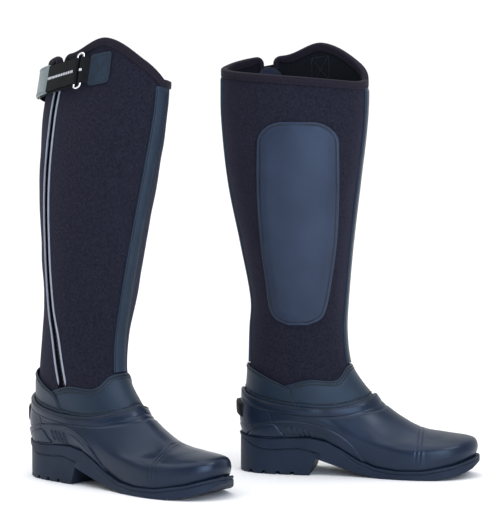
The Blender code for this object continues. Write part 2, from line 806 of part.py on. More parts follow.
def make_strap(boot):
    ring_middle = RUN_OUT + STRAP_THICK + RING_ROOM
    bar = leg(boot, STRAP_RING, smooth(STRAP_Z, STRAP_RING), ring_middle)
    opening = add_empty(boot, "strap_axis", bar, boot["ankle"])
    beside_ring = STRAP_RING + RING_HALF + BAR_ROOM
    pad = RUN_OUT + STRAP_THICK + GAP
    over = pad + PAD + GAP
    elastic, thick, width = boot["elastic"], STRAP_THICK, STRAP_WIDTH
    strap_sheet(boot, "strap_under_run", (beside_ring, STRAP_SEWN), width, run_out, thick, elastic, 10)
    strap_sheet(boot, "strap_loop_pad", (TAB_START, PAD_REAR), PAD_WIDTH, pad, PAD, boot["tape"], 3)
    strap_sheet(boot, "strap_elastic", (beside_ring, TAB_START - 1), width, over, thick, elastic, 4, opening)
    tab_reach = (TAB_START, STRAP_REAR)
    strap_sheet(boot, "strap_tab", tab_reach, TAB_WIDTH, over, thick, boot["tab"], 4, opening)
    patch_reach = (STRAP_FRONT, PATCH_END)
    strap_sheet(boot, "ring_patch", patch_reach, PATCH_WIDTH, STRIP_OFF, LEATHER, boot["leather"], 4)

    # Ring: a rectangle of round bar lying along the shaft, its long sides across the strap
    points = []
    for aside, up in ((1, -1), (1, 1), (-1, 1), (-1, -1)):
        degrees = STRAP_RING + aside * RING_HALF
        z = smooth(STRAP_Z, degrees) + up * (width / 2 + RING_OVER)
        points.append(leg(boot, degrees, z, ring_middle))
    ring = add_tube(boot, "strap_ring", points, RING_BAR, boot["chrome"], boot["ankle"])
    ring.data.splines[0].use_cyclic_u = True
    ring.data.use_fill_caps = False


# ---- Whole boot ----------------------------------------------------------------------------------------


def make_boot(boot):
    collection = bpy.data.collections.new(f"{boot['name']}_boot")
    bpy.context.scene.collection.children.link(collection)
    boot["collection"] = collection
    boot["cutters"] = bpy.data.collections.new(f"{boot['name']}_cutters")
    boot["cutters"].hide_render = True
    bpy.context.scene.collection.children.link(boot["cutters"])

    frame = add_empty(boot, "frame", Vector())
    frame.location = (*boot["place"], 0)
    frame.rotation_euler.z = math.radians(boot["yaw"])
    boot["frame"] = frame
    boot["ankle"] = add_empty(boot, "ankle_axis", Vector((0.075, 0, 0.100)), frame)
    boot["arc"] = zip_arc(boot)

    finishes = (
        ("rubber", (0.026, 0.042, 0.062), 0.42),
        ("sole", (0.022, 0.036, 0.052), 0.6),
        ("black", (0.008, 0.009, 0.012), 0.6),
        ("leather", (0.030, 0.052, 0.072), 0.45),
        ("neoprene", (0.018, 0.018, 0.030), 0.9),
        ("binding", (0.026, 0.020, 0.030), 0.8),
        ("elastic", (0.008, 0.009, 0.011), 0.8),
        ("tab", (0.15, 0.20, 0.20), 0.5),
        ("tape", (0.012, 0.013, 0.018), 0.9),
        ("teeth", (0.010, 0.011, 0.016), 0.4),
        ("guard", (0.045, 0.055, 0.085), 0.6),
        ("piping", (0.50, 0.53, 0.60), 0.35),
        ("lining", (0.020, 0.022, 0.030), 0.95),
        ("board", (0.20, 0.16, 0.11), 0.8),
    )
    for name, colour, roughness in finishes:
        boot[name] = make_material(f"{boot['name']}_{name}", colour, roughness)
    boot["steel"] = make_material(f"{boot['name']}_steel", (0.45, 0.46, 0.48), 0.35, 1.0)
    boot["chrome"] = make_material(f"{boot['name']}_chrome", (0.75, 0.76, 0.78), 0.15, 1.0)

    make_foot(boot)
    make_collar(boot)
    make_panels(boot)
    make_binding(boot)
    make_strips(boot)
    make_patch(boot)
    make_zip(boot)
    make_strap(boot)


for old in list(bpy.data.objects):
    bpy.data.objects.remove(old)
for boot_facts in (RIGHT_BOOT, LEFT_BOOT):
    make_boot(boot_facts)
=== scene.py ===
"""Looks of a pair of tall winter riding boots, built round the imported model.

Metres, +Z up. In a boot's own frame the heel's rear is at x = 0, the toe points along +X and the sole
stands on z = 0. Angles run from the front (0) over the outer side (90) and the heel (180) to the inner side
(270)."""

import json
import math

import bpy
import numpy as np
from mathutils import Matrix, Vector


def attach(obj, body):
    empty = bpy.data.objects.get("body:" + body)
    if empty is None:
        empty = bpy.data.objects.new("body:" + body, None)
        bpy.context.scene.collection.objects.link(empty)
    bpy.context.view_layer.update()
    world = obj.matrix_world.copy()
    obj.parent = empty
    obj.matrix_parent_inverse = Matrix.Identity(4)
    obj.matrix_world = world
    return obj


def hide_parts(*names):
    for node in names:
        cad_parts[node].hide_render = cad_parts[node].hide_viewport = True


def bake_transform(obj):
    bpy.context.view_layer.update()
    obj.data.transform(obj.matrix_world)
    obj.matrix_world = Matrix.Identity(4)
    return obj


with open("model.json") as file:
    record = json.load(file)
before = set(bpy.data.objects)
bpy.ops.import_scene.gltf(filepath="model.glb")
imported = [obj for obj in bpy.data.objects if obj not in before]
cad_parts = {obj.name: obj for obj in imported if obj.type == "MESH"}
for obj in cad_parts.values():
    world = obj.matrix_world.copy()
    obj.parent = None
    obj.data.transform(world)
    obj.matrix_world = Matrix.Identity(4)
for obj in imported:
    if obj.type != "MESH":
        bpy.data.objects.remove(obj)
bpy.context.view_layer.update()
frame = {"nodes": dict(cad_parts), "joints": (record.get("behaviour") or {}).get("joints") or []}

# ---- Dimensions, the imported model's own ----

SOLE_LENGTH = 0.283
COLLAR_OFF = 0.0009
NEOPRENE = 0.0045
LINING_OUT = -NEOPRENE - 0.0001
LEATHER = 0.0012
RUBBER = 0.003
GAP = 0.0005
GALOSH_LIFT = 0.0002
EDGE = 0.0011  # radius of a sheet's rounded edge
SEAM_DROP = 0.0126  # the collar's lower seam above the band's lower edge
BAND_SEAM = 0.0076
ZIP_TOP = 0.474

# Neoprene's outer face: height, rear, front, half width
LEG = (
    (0.066, 0.0066, 0.178, 0.0345), (0.078, 0.008, 0.1655, 0.035), (0.09, 0.01, 0.156, 0.0352),
    (0.104, 0.0115, 0.144, 0.0362), (0.118, 0.0125, 0.1352, 0.0374), (0.132, 0.013, 0.1292, 0.0392),
    (0.167, 0.0143, 0.1257, 0.0427), (0.202, 0.0163, 0.1272, 0.0488), (0.266, 0.005, 0.1328, 0.0543),
    (0.34, -0.0095, 0.1416, 0.0567), (0.413, -0.0168, 0.15, 0.053), (0.462, -0.0172, 0.1512, 0.047),
    (0.51, -0.0165, 0.1485, 0.043),
)
LEAN_FROM = 0.11
LEAN_SPAN = 0.35
# Top edge of the shaft: angle, height
RIM = (
    (0, 0.457), (30, 0.479), (70, 0.504), (100, 0.488), (128, 0.483), (180, 0.471), (270, 0.461),
    (330, 0.455), (360, 0.457),
)
LOBE = 0.007  # rounding of the shaft's corners beside the zip

# Zip: height and angle of three points on its chain's circular arc
ZIP_POINTS = ((0.452, 114), (0.29, 113), (0.112, 90))
ZIP_DEPTH = -0.0047
ZIP_LOW = 0.108
ZIP_HIGH = 0.46
ZIP_GAP = 0.0075
SLIDER_AT = 0.455
SLIDER_TWIST = 16
PIPING_ASIDE = 0.0055
PIPING = 0.00118
TOOTH_PITCH = 0.0024
PIPING_LOW = 0.1125
PIPING_HIGH = 0.4715
TAPE_INNER = 0.0022  # the tape's edges, beside the chain's middle
TAPE_OUTER = 0.0125
TAPE_LOW = 0.104
TAPE_HIGH = 0.464
TAPE_THICK = 0.0007
TAPE_OUT = -0.0054
GUARD_HALF = 0.016
GUARD_LOW = 0.118
GUARD_THICK = 0.0022
GUARD_OUT = -0.009
GUARD_DOME = 0.013

# Sole: x, height of its top edge; x, height of its underside; x, height of the step moulded round its heel
SOLE_TOP = (
    (0.0, 0.046), (0.012, 0.042), (0.04, 0.041), (0.063, 0.043), (0.087, 0.044), (0.108, 0.04),
    (0.125, 0.031), (0.145, 0.019), (0.165, 0.012), (0.19, 0.0095), (0.221, 0.0105), (0.255, 0.0165),
    (0.283, 0.025),
)
SOLE_UNDER = (
    (0.0, 0.0), (0.0875, 0.0), (0.0945, 0.02), (0.12, 0.0115), (0.145, 0.004), (0.17, 0.0),
    (0.236, 0.0), (0.262, 0.005), (0.276, 0.011), (0.283, 0.017),
)
SOLE_STEP = (
    (0.0, 0.044), (0.009, 0.039), (0.02, 0.0335), (0.032, 0.03), (0.051, 0.03), (0.075, 0.032),
    (0.094, 0.0275), (0.105, 0.0255),
)
SOLE_WIDTH = (
    (0, 0.072), (30, 0.068), (60, 0.0575), (90, 0.04), (120, 0.043), (150, 0.056), (180, 0.062),
)
TOE_SWING = 0.004  # the toe's turn towards the inner side
WELT = 0.004
TREAD = 0.0035
HEEL_STEP = 0.0014  # how far the heel stands back below its moulded step
CHEVRON = 0.013  # step of the forepart's tread
NOTCH_HALF = 0.0022
SHARP = 0.0003  # half the width of a sharp edge's slope
TREAD_X = (0.016, 0.033, 0.05, 0.067)

BAND = ((0, 0.081), (40, 0.075), (75, 0.07), (120, 0.075), (180, 0.088))
BAND_HEIGHT = 0.0095
BAND_OUT = LEATHER + COLLAR_OFF + 1.3 * GAP + RUBBER
BAND_STEP = LEATHER + 1.5 * GAP
VAMP_TOP = ((0, 0.127), (22, 0.125), (50, 0.111), (80, 0.112), (105, 0.105), (125, 0.097))
COUNTER_TOP = ((96, 0.092), (102, 0.101), (115, 0.109), (145, 0.121), (180, 0.127))
VAMP_REACH = 118
COUNTER_REACH = 97
COUNTER_SWEEP = 5  # its front edge sweeps back by these degrees
ROW_DROP = 0.0026  # the stitch rows below the collar's top edge
SECOND_ROW = 0.0056
TUCK = 0.01
TOE_PROFILE = (
    (0.0, 0.0, 0.0), (0.12, -0.02, 0.2), (0.26, 0.04, 0.36), (0.45, 0.32, 0.44), (0.65, 0.58, 0.52),
    (0.83, 0.8, 0.73), (1.0, 1.0, 1.0),
)
SIDE_BULGE = 0.0035
SPUR_LOW = 0.0675
SPUR_HIGH = 0.0835
SPUR_REACH = 19  # degrees to each side of the heel

STRIP_HALF = 0.0105
STRIP_OFF = 0.0008
SHEET_OUT = STRIP_OFF + LEATHER  # outer face of a strip or patch, off the neoprene
STRIP_ROW = 0.0022  # stitches inside the strip's edge
PATCH_TOP = 0.4105
PATCH_LOW = 0.177
PATCH_CORNER = 0.024
PATCH_ROW = 0.003  # stitches inside the patch's edge
PATCH_EDGES = (
    (0.177, 0.064, 0.086), (0.183, 0.05, 0.1), (0.196, 0.0425, 0.107), (0.224, 0.039, 0.1125),
    (0.278, 0.033, 0.1195), (0.34, 0.03, 0.1225), (0.4105, 0.031, 0.1225),
)

STRAP_WIDTH = 0.032
LOOP_WIDTH = 0.0296  # of the elastic that passes through the ring
STRAP_REAR = 157
STRAP_SEWN = 167
STRAP_RING = 87
STRAP_FRONT = 62
RING_HALF = 2.8
RING_BAR = 0.0013
LOOP_THICK = 0.0013
LOOP_RADIUS = 0.003  # to the elastic's outer face, where it turns round a bar
STRAP_Z = ((60, 0.4735), (87, 0.467), (118, 0.458), (168, 0.448))
RUN_OUT = 0.0046
STRAP_THICK = 0.0018
PAD = 0.0012
RING_MIDDLE = RUN_OUT + STRAP_THICK + 0.002
TAB_START = 122
TAB_END = 154
PAD_END = 147

ANKLE = Vector((0.075, 0, 0.1))


# ---- Curves ----


def smooth(knots, at):
    """Values on a smooth curve through rows of (key, value, ...): an array, or a tuple of arrays."""
    table = np.array(knots, float)
    keys, values = table[:, 0], table[:, 1:]
    at = np.clip(np.asarray(at, float), keys[0], keys[-1])
    after = np.clip(np.searchsorted(keys, at), 1, len(keys) - 1)
    order = np.arange(len(keys))
    low, high = np.maximum(order - 1, 0), np.minimum(order + 1, len(keys) - 1)
    slopes = (values[high] - values[low]) / (keys[high] - keys[low])[:, None]
    span = (keys[after] - keys[after - 1])[..., None]
    f = (at - keys[after - 1])[..., None] / span
    found = (
        values[after - 1] * (2 * f**3 - 3 * f**2 + 1)
        + slopes[after - 1] * span * (f**3 - 2 * f**2 + f)
        + values[after] * (3 * f**2 - 2 * f**3)
        + slopes[after] * span * (f**3 - f**2)
    )
    found = np.moveaxis(found, -1, 0)
    return found[0] if len(found) == 1 else tuple(found)


def linear(knots, at):
    table = np.array(knots, float)
    return np.interp(at, table[:, 0], table[:, 1])


def ease(at, start, end):
    f = np.clip((at - start) / (end - start), 0, 1)
    return f * f * (3 - 2 * f)


def fold(degrees):
    degrees = np.mod(degrees, 360)
    return np.minimum(degrees, 360 - degrees)


def arrays(*values):
    return np.broadcast_arrays(*(np.asarray(value, float) for value in values))


def unit(vectors):
    return vectors / np.maximum(np.linalg.norm(vectors, axis=-1, keepdims=True), 1e-12)


def reach_along(path):
    """The length from the path's start to each of its points."""
    return np.concatenate([[0], np.cumsum(np.linalg.norm(np.diff(path, axis=0), axis=1))])


def circle(count):
    return np.radians(np.arange(count) * 360 / count)


def blunt(t, power):
    """A cosine with a flatter top."""
    return np.sign(np.cos(t)) * np.abs(np.cos(t)) ** power


def near(distance, width):
    """A smooth ridge, 1 where the distance is 0 and 0 beyond the width."""
    return 1 - ease(np.abs(distance), 0, width)


def steps(length, step, edge=0.0012):
    """Shares of a length, a step apart, with closer ones at both ends for a rounded edge."""
    ends = np.array([0, 0.12, 0.35, 0.65, 1]) * min(edge / length, 0.2)
    count = max(3, round(length / step))
    middle = np.linspace(ends[-1], 1 - ends[-1], count)
    return np.concatenate([ends[:-1], middle, 1 - ends[-2::-1]])


def spread(start, end, slack, count):
    """Places from start to end, closer together at both ends. `slack` degrees stop them short of the ends."""
    t = np.radians(np.linspace(180 - slack, slack, count))
    return (start + end) / 2 + (end - start) / 2 * np.cos(t)


def rolled(margin, radius):
    """How far an outer face falls away at a rounded edge, by the distance from the edge."""
    f = np.clip(1 - margin / radius, 0, 1)
    return -radius * (1 - np.sqrt(1 - f * f))


def wander(x, y, seed):
    """A smooth uneven field of about -1 to 1, with features a few centimetres across."""
    rng = np.random.default_rng(seed)
    total = 0
    for _ in range(6):
        a, b, c = rng.uniform(-1, 1, 3)
        total = total + np.sin(110 * (a * x + b * y) + 6 * c + 2 * np.sin(60 * (b * x - a * y)))
    return total / 3.5


# ---- A boot's surfaces ----


class Boot:
    """One boot's place and its surfaces, in its own frame."""

    def __init__(self, name, side, forward, inward, sag):
        self.name, self.side, self.forward, self.inward = name, side, forward, inward
        self.sag = sag  # how far the outer side's peak has sunk
        joint = next(j for j in frame["joints"] if j["name"] == f"{name}_ankle_flex")
        left = Vector(joint["axis"]).normalized()
        ahead = left.cross(Vector((0, 0, 1)))
        turn = Matrix((ahead, left, (0, 0, 1))).transposed()
        self.turn = np.array(turn)
        self.origin = np.array(Vector(joint["pos_m"]) - turn @ ANKLE)
        self.set_zip_arc()

    def world(self, points):
        return np.asarray(points) @ self.turn.T + self.origin

    def section(self, z):
        """Centre, half depth and half width of the neoprene's outer face."""
        rear, front, half = smooth(LEG, z)
        lean = np.maximum(0, z - LEAN_FROM) / LEAN_SPAN
        x = (rear + front) / 2 + self.forward * lean
        return x, -self.side * self.inward * lean, (front - rear) / 2, half

    def face(self, degrees, z):
        degrees, z = arrays(degrees, z)
        x, y, deep, half = self.section(z)
        t = np.radians(degrees)
        return np.stack([x + deep * np.cos(t), y + self.side * half * np.sin(t), z], -1)

    def normal(self, degrees, z):
        around = self.face(np.asarray(degrees) + 0.5, z) - self.face(np.asarray(degrees) - 0.5, z)
        up = self.face(degrees, np.asarray(z) + 0.001) - self.face(degrees, np.asarray(z) - 0.001)
        return unit(self.side * np.cross(around, up))

    def outward(self, degrees):
        """Level directions away from the boot's middle."""
        t = np.radians(degrees)
        return np.stack([np.cos(t), self.side * np.sin(t), 0 * t], -1)

    def onward(self, degrees, z):
        """Level directions round the leg, towards larger angles."""
        return unit(self.face(degrees + 1, z) - self.face(degrees - 1, z))

    def leg(self, degrees, z, out):
        """The point `out` beyond the neoprene's outer face."""
        return self.face(degrees, z) + np.asarray(out)[..., None] * self.normal(degrees, z)

    def turn_per_metre(self, degrees, z):
        _, _, deep, half = self.section(z)
        t = np.radians(degrees)
        return np.degrees(1 / np.hypot(deep * np.sin(t), half * np.cos(t)))

    def set_zip_arc(self):
        top, middle, low = (Vector(self.leg(a, z, ZIP_DEPTH)) for z, a in ZIP_POINTS)
        a, b = top - middle, low - middle
        axis = a.cross(b)
        away = (b * a.length_squared - a * b.length_squared).cross(axis)
        centre = middle + away / (2 * axis.length_squared)
        self.arc_centre, self.arc_axis = centre, axis.normalized()
        self.arc_radius = (top - centre).length
        across = self.arc_axis.cross(Vector((0, 0, 1))).normalized()
        if (middle - centre).dot(across) < 0:
            across = -across
        up = across.cross(self.arc_axis)
        self.arc_across, self.arc_up = across, up if up.z > 0 else -up

    def zip_line(self, z):
        """The chain's middle at a height: its angle, and its depth off the neoprene's outer face."""
        z = np.asarray(z, float)
        rise = ((z - self.arc_centre.z) / self.arc_up.z)[..., None]
        level = np.sqrt(self.arc_radius**2 - rise**2)
        point = np.array(self.arc_centre) + rise * np.array(self.arc_up) + level * np.array(self.arc_across)
        x, y, deep, half = self.section(z)
        degrees = np.degrees(np.arctan2(self.side * (point[..., 1] - y) / half, (point[..., 0] - x) / deep))
        depth = ((point - self.face(degrees, z)) * self.normal(degrees, z)).sum(-1)
        return degrees, depth

    def beside_zip(self, z, across):
        degrees, _ = self.zip_line(z)
        return degrees + across * self.turn_per_metre(degrees, z)

    def plain_rim(self, degrees):
        """Height of the shaft's top edge."""
        degrees = np.mod(degrees, 360)
        return smooth(RIM, degrees) - self.sag * near(degrees - 68, 66)

    def rim(self, degrees):
        """The same, with a rounded corner on each side of the zip."""
        plain = self.plain_rim(degrees)
        middle = float(self.zip_line(ZIP_TOP)[0])
        beyond = np.abs(np.mod(degrees, 360) - middle) / self.turn_per_metre(middle, ZIP_TOP) - ZIP_GAP
        return plain + rolled(beyond, LOBE)

    def shaft_low(self, degrees):
        flat = fold(degrees)
        return np.where(flat < 110, smooth(VAMP_TOP, flat), smooth(COUNTER_TOP, flat)) - TUCK

    def feather(self, degrees, beyond):
        """The sole's outline in plan."""
        t = np.radians(degrees)
        half = smooth(SOLE_WIDTH, fold(degrees))
        x = SOLE_LENGTH / 2 + (SOLE_LENGTH / 2 + beyond) * np.cos(t)
        return x, self.side * ((half + beyond) * np.sin(t) - TOE_SWING * ease(x, 0.12, 0.26))

    def foot_face(self, degrees, v):
        """The galosh's outer face: v is 0 at the sole and 1 at the band's lower edge."""
        x, y = self.feather(degrees, -WELT)
        low = np.stack([x, y, linear(SOLE_TOP, x) + GALOSH_LIFT], -1)
        high = self.leg(degrees, band_low(degrees), band_out(degrees))
        inward, upward = smooth(TOE_PROFILE, v)
        over_toe = 1 - ease(fold(degrees), 38, 105)
        inward = inward * over_toe + (v - 0.25 * np.sin(np.pi * v) * v) * (1 - over_toe)
        upward = upward * over_toe + v * (1 - over_toe)
        point = low + (high - low) * inward[..., None]
        point[..., 2] = low[..., 2] + (high[..., 2] - low[..., 2]) * upward
        swell = SIDE_BULGE * np.sin(np.pi * v) * (1 - over_toe)
        return point + swell[..., None] * self.outward(degrees)


def band_low(degrees):
    """Height of the galosh's band at its lower edge."""
    return smooth(BAND, fold(degrees))


def groove(distance, depth=0.0008, width=0.0014):
    return -depth * near(distance, width)


def band_out(degrees):
    return BAND_OUT + BAND_STEP * ease(fold(degrees), 78, 93)


# ---- Mesh helpers ----


def add_object(name, data, place=(0, 0, 0), turn=(0, 0, 0)):
    obj = bpy.data.objects.new(name, data)
    obj.location, obj.rotation_euler = place, turn
    bpy.context.scene.collection.objects.link(obj)
    return obj


SHARP_EDGE = 38  # degrees between faces


def quads(index):
    corners = (index[:-1, :-1], index[:-1, 1:], index[1:, 1:], index[1:, :-1])
    return np.stack(corners, -1).reshape(-1, 4)


def shell(outer, inner, ring=False):
    """Points and faces of a closed wall between two grids: the outer grid's faces, then the inner grid's."""
    rows, cols = outer.shape[:2]
    index = np.arange(rows * cols).reshape(rows, cols)
    if ring:
        index = np.hstack([index, index[:, :1]])
    behind = rows * cols

    def rim_strip(line):
        return np.stack([line[:-1], line[:-1] + behind, line[1:] + behind, line[1:]], -1)

    faces = [quads(index), quads(index)[:, ::-1] + behind, rim_strip(index[0]), rim_strip(index[-1])[:, ::-1]]
    if not ring:
        faces += [rim_strip(index[:, 0])[:, ::-1], rim_strip(index[:, -1])]
    return np.concatenate([outer.reshape(-1, 3), inner.reshape(-1, 3)]), np.concatenate(faces).tolist()


def tube(sections, closed=False):
    """Points and faces of a skin over rings of equally many points."""
    rows, cols = sections.shape[:2]
    index = np.arange(rows * cols).reshape(rows, cols)
    index = np.hstack([index, index[:, :1]])
    if closed:
        index = np.vstack([index, index[:1]])
    faces = [face.tolist() for face in quads(index)]
    if not closed:
        faces += [index[0, :-1][::-1].tolist(), index[-1, :-1].tolist()]
    return sections.reshape(-1, 3), faces


def joined(pieces):
    """Several (points, faces) as one."""
    points, faces, count = [], [], 0
    for some, corners in pieces:
        points.append(some)
        faces += [[i + count for i in face] for face in corners]
        count += len(some)
    return np.concatenate(points), faces


def rod(path, across, out, wide, tall, sides):
    """Rings of a round bar along a path."""
    t = circle(sides)
    wide, tall = (np.reshape(size, (-1, 1)) for size in (wide, tall))
    wide, tall = wide * np.cos(t), tall * np.sin(t)
    return path[:, None] + wide[..., None] * across[:, None] + tall[..., None] * out[:, None]


def volume(points, faces):
    """Six times the enclosed volume, negative if the faces point inwards."""
    total = 0.0
    for count in {len(face) for face in faces}:
        corners = np.array([face for face in faces if len(face) == count])
        first, *others = (points[corners[:, i]] for i in range(count))
        for one, two in zip(others, others[1:]):
            total += (first * np.cross(one, two)).sum()
    return total


def add_piece(boot, name, skin, finish, body="shaft", uv=None, lined=0, sharp=SHARP_EDGE, slot=None):
    """A named mesh that rides on a body, or, for the ankle's pieces, is baked in place with no parent.

    It stands for the CAD node of its name, unless it is an extra on another piece's slot. Of a lined wall,
    `lined` is the number of faces on each side."""
    points, faces = boot.world(skin[0]), skin[1]
    if volume(points, faces) < 0:
        faces = [face[::-1] for face in faces]
    mesh = bpy.data.meshes.new(f"{boot.name}_{name}")
    mesh.from_pydata(points.tolist(), [], faces)
    mesh.shade_smooth()
    mesh.set_sharp_from_angle(angle=math.radians(sharp))
    if uv is not None:
        uv = np.reshape(uv, (-1, 2))
        if len(uv) < len(points):
            uv = np.concatenate([uv, uv])
        layer = mesh.uv_layers.new(name="Surface")
        corners = np.empty(len(mesh.loops), np.int32)
        mesh.loops.foreach_get("vertex_index", corners)
        layer.data.foreach_set("uv", np.asarray(uv, np.float32)[corners].ravel())
    mesh.materials.append(look[finish])
    if lined:
        mesh.materials.append(look["lining"])
        slots = np.zeros(len(faces), np.int32)
        slots[lined : lined * 2] = 1
        mesh.polygons.foreach_set("material_index", slots)
    obj = add_object(f"{boot.name}_{name}_looks", mesh)
    if body == "ankle":
        x, y, _ = boot.world(np.array(ANKLE))
        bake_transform(obj)
    else:
        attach(obj, f"{boot.name}_{body}")
    if not slot:
        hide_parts(f"{boot.name}_{name}")
    return obj


def wall(boot, name, degrees, z, out, thick, finish, body="ankle", uv=None, lined=False):
    """A sheet on the leg. `out` is its outer face's height off the neoprene."""
    out = np.broadcast_to(out, degrees.shape)
    # A nearly flat sheet has a plain back
    back = np.full(out.shape, np.median(out)) if np.ptp(out) < 0.002 else out
    skin = shell(boot.leg(degrees, z, out), boot.leg(degrees, z, back - thick))
    if uv is None:
        uv = np.stack([np.radians(degrees) * 0.06, z], -1)
    count = (degrees.shape[0] - 1) * (degrees.shape[1] - 1)
    return add_piece(boot, name, skin, finish, body, uv, count if lined else 0)


FINE_THREAD = 0.00046  # radius
COARSE_THREAD = 0.00064
STITCH_PITCH = 0.0031
STITCH_LENGTH = 0.0021
# Each stitch dives into the sheet: share of its length, share of its thickness
STITCH = ((-0.5, 0.3), (-0.32, 0.9), (0, 1), (0.32, 0.9), (0.5, 0.3))


def stitches(path, normals, radius):
    """Threads along a path, as (points, faces)."""
    reach = reach_along(path)
    count = max(1, int(reach[-1] / STITCH_PITCH))
    at = (np.arange(count) + 0.5) * reach[-1] / count

    def read(values, where):
        return np.stack([np.interp(where, reach, values[:, i]) for i in range(3)], -1)

    along = unit(read(path, at + STITCH_LENGTH / 2) - read(path, at - STITCH_LENGTH / 2))
    across = unit(np.cross(along, read(normals, at)))
    out = np.cross(across, along)
    rings = []
    for share, wide in STITCH:
        middle = read(path, at) + share * STITCH_LENGTH * along - radius * (1 - wide) * 0.8 * out
        rings.append(rod(middle, across, out, wide * radius, wide * radius, 6))
    return joined([tube(thread) for thread in np.stack(rings, 1)])


def add_threads(boot, name, rows, body="shaft", slot="leather_look", finish="thread", radius=COARSE_THREAD):
    """All the threads of one piece. Each row is (angles, heights, height off the neoprene)."""
    made = []
    for degrees, z, out in rows:
        degrees, z = arrays(degrees, z)
        path = boot.leg(degrees, z, np.broadcast_to(out, degrees.shape))
        made.append(stitches(path, boot.normal(degrees, z), radius))
    return add_piece(boot, name, joined(made), finish, body, slot=slot)


# ---- Materials ----

look = {}


def srgb(levels):
    """A colour from its 0 to 255 levels. One with levels up to 1 is ready for use."""
    if max(levels) <= 1:
        return levels
    return tuple(((x / 255 + 0.055) / 1.055) ** 2.4 if x > 10 else x / 255 / 12.92 for x in levels)


def add_node(tree, kind, inputs=(), **settings):
    """A shader node with its inputs set or linked."""
    node = tree.nodes.new(kind)
    for key, value in settings.items():
        setattr(node, key, value)
    for key, value in dict(inputs).items():
        if isinstance(value, bpy.types.NodeSocket):
            tree.links.new(value, node.inputs[key])
        else:
            node.inputs[key].default_value = value
    return node


class Finish:
    """A Principled material built from procedural nodes. Its colour wanders between two tones."""

    def __init__(self, name, dark, light, scale, detail=4.0, roughness=0.5, specular=0.5, **sockets):
        self.material = bpy.data.materials.new(name)
        self.material.use_nodes = True
        self.tree = self.material.node_tree
        self.shader = self.tree.nodes["Principled BSDF"]
        sockets.update(Roughness=roughness, Specular_IOR_Level=specular)
        for key, value in sockets.items():
            self.shader.inputs[key.replace("_", " ")].default_value = value
        self.place = self.add("ShaderNodeTexCoord").outputs["Object"]
        self.surface = self.add("ShaderNodeUVMap", uv_map="Surface").outputs["UV"]
        self.height = None
        ramp = self.add("ShaderNodeValToRGB", {"Fac": self.noise(scale, detail)})
        for stop, position, levels in zip(ramp.color_ramp.elements, (0.3, 0.7), (dark, light)):
            stop.position, stop.color = position, (*srgb(levels), 1)
        self.tree.links.new(ramp.outputs["Color"], self.shader.inputs["Base Color"])
        look[name] = self.material

    def add(self, kind, inputs=(), **settings):
        return add_node(self.tree, kind, inputs, **settings)

    def noise(self, scale, detail=3.0, stretch=None):
        vector = self.place
        if stretch:
            vector = self.add("ShaderNodeMapping", {"Vector": vector, "Scale": stretch}).outputs["Vector"]
        node = self.add("ShaderNodeTexNoise", {"Vector": vector, "Scale": scale, "Detail": detail})
        return node.outputs["Fac"]

    def ranged(self, value, low, high, start=0.25, end=0.75):
        inputs = {"Value": value, "From Min": start, "From Max": end, "To Min": low, "To Max": high}
        return self.add("ShaderNodeMapRange", inputs).outputs["Result"]

    def math(self, operation, one, two=0.0):
        return self.add("ShaderNodeMath", {0: one, 1: two}, operation=operation).outputs[0]

    def rough(self, low, high, scale):
        self.tree.links.new(self.ranged(self.noise(scale), low, high), self.shader.inputs["Roughness"])
        return self

    def bump(self, value, distance, strength):
        inputs = {"Height": value, "Distance": distance, "Strength": strength}
        if self.height:
            inputs["Normal"] = self.height
        self.height = self.add("ShaderNodeBump", inputs).outputs["Normal"]
        self.tree.links.new(self.height, self.shader.inputs["Normal"])
        return self

    def uneven(self, scale, detail, distance, strength, stretch=None):
        return self.bump(self.noise(scale, detail, stretch), distance, strength)

    def ribbed(self, axis, period, distance, strength):
        return self.bump(self.waves(axis, period), distance, strength)

    def waves(self, axis, period):
        """A sine along one direction of the surface."""
        parts = self.add("ShaderNodeSeparateXYZ", {"Vector": self.surface})
        return self.math("SINE", self.math("MULTIPLY", parts.outputs[axis], 2 * math.pi / period))

    def weave(self, period, distance, strength, slant=1.0):
        """Crossed threads that lie on the surface."""
        crossed = self.math("MULTIPLY", self.waves("X", period), self.waves("Y", period * slant))
        return self.bump(crossed, distance, strength)

    def grain(self, scale, distance, strength):
        """Leather's cells, by the distance to the creases between them."""
        inputs = {"Vector": self.place, "Scale": scale, "Randomness": 1.0}
        cells = self.add("ShaderNodeTexVoronoi", inputs, feature="DISTANCE_TO_EDGE")
        return self.bump(self.ranged(cells.outputs["Distance"], 0, 1, 0.0, 0.25), distance, strength)


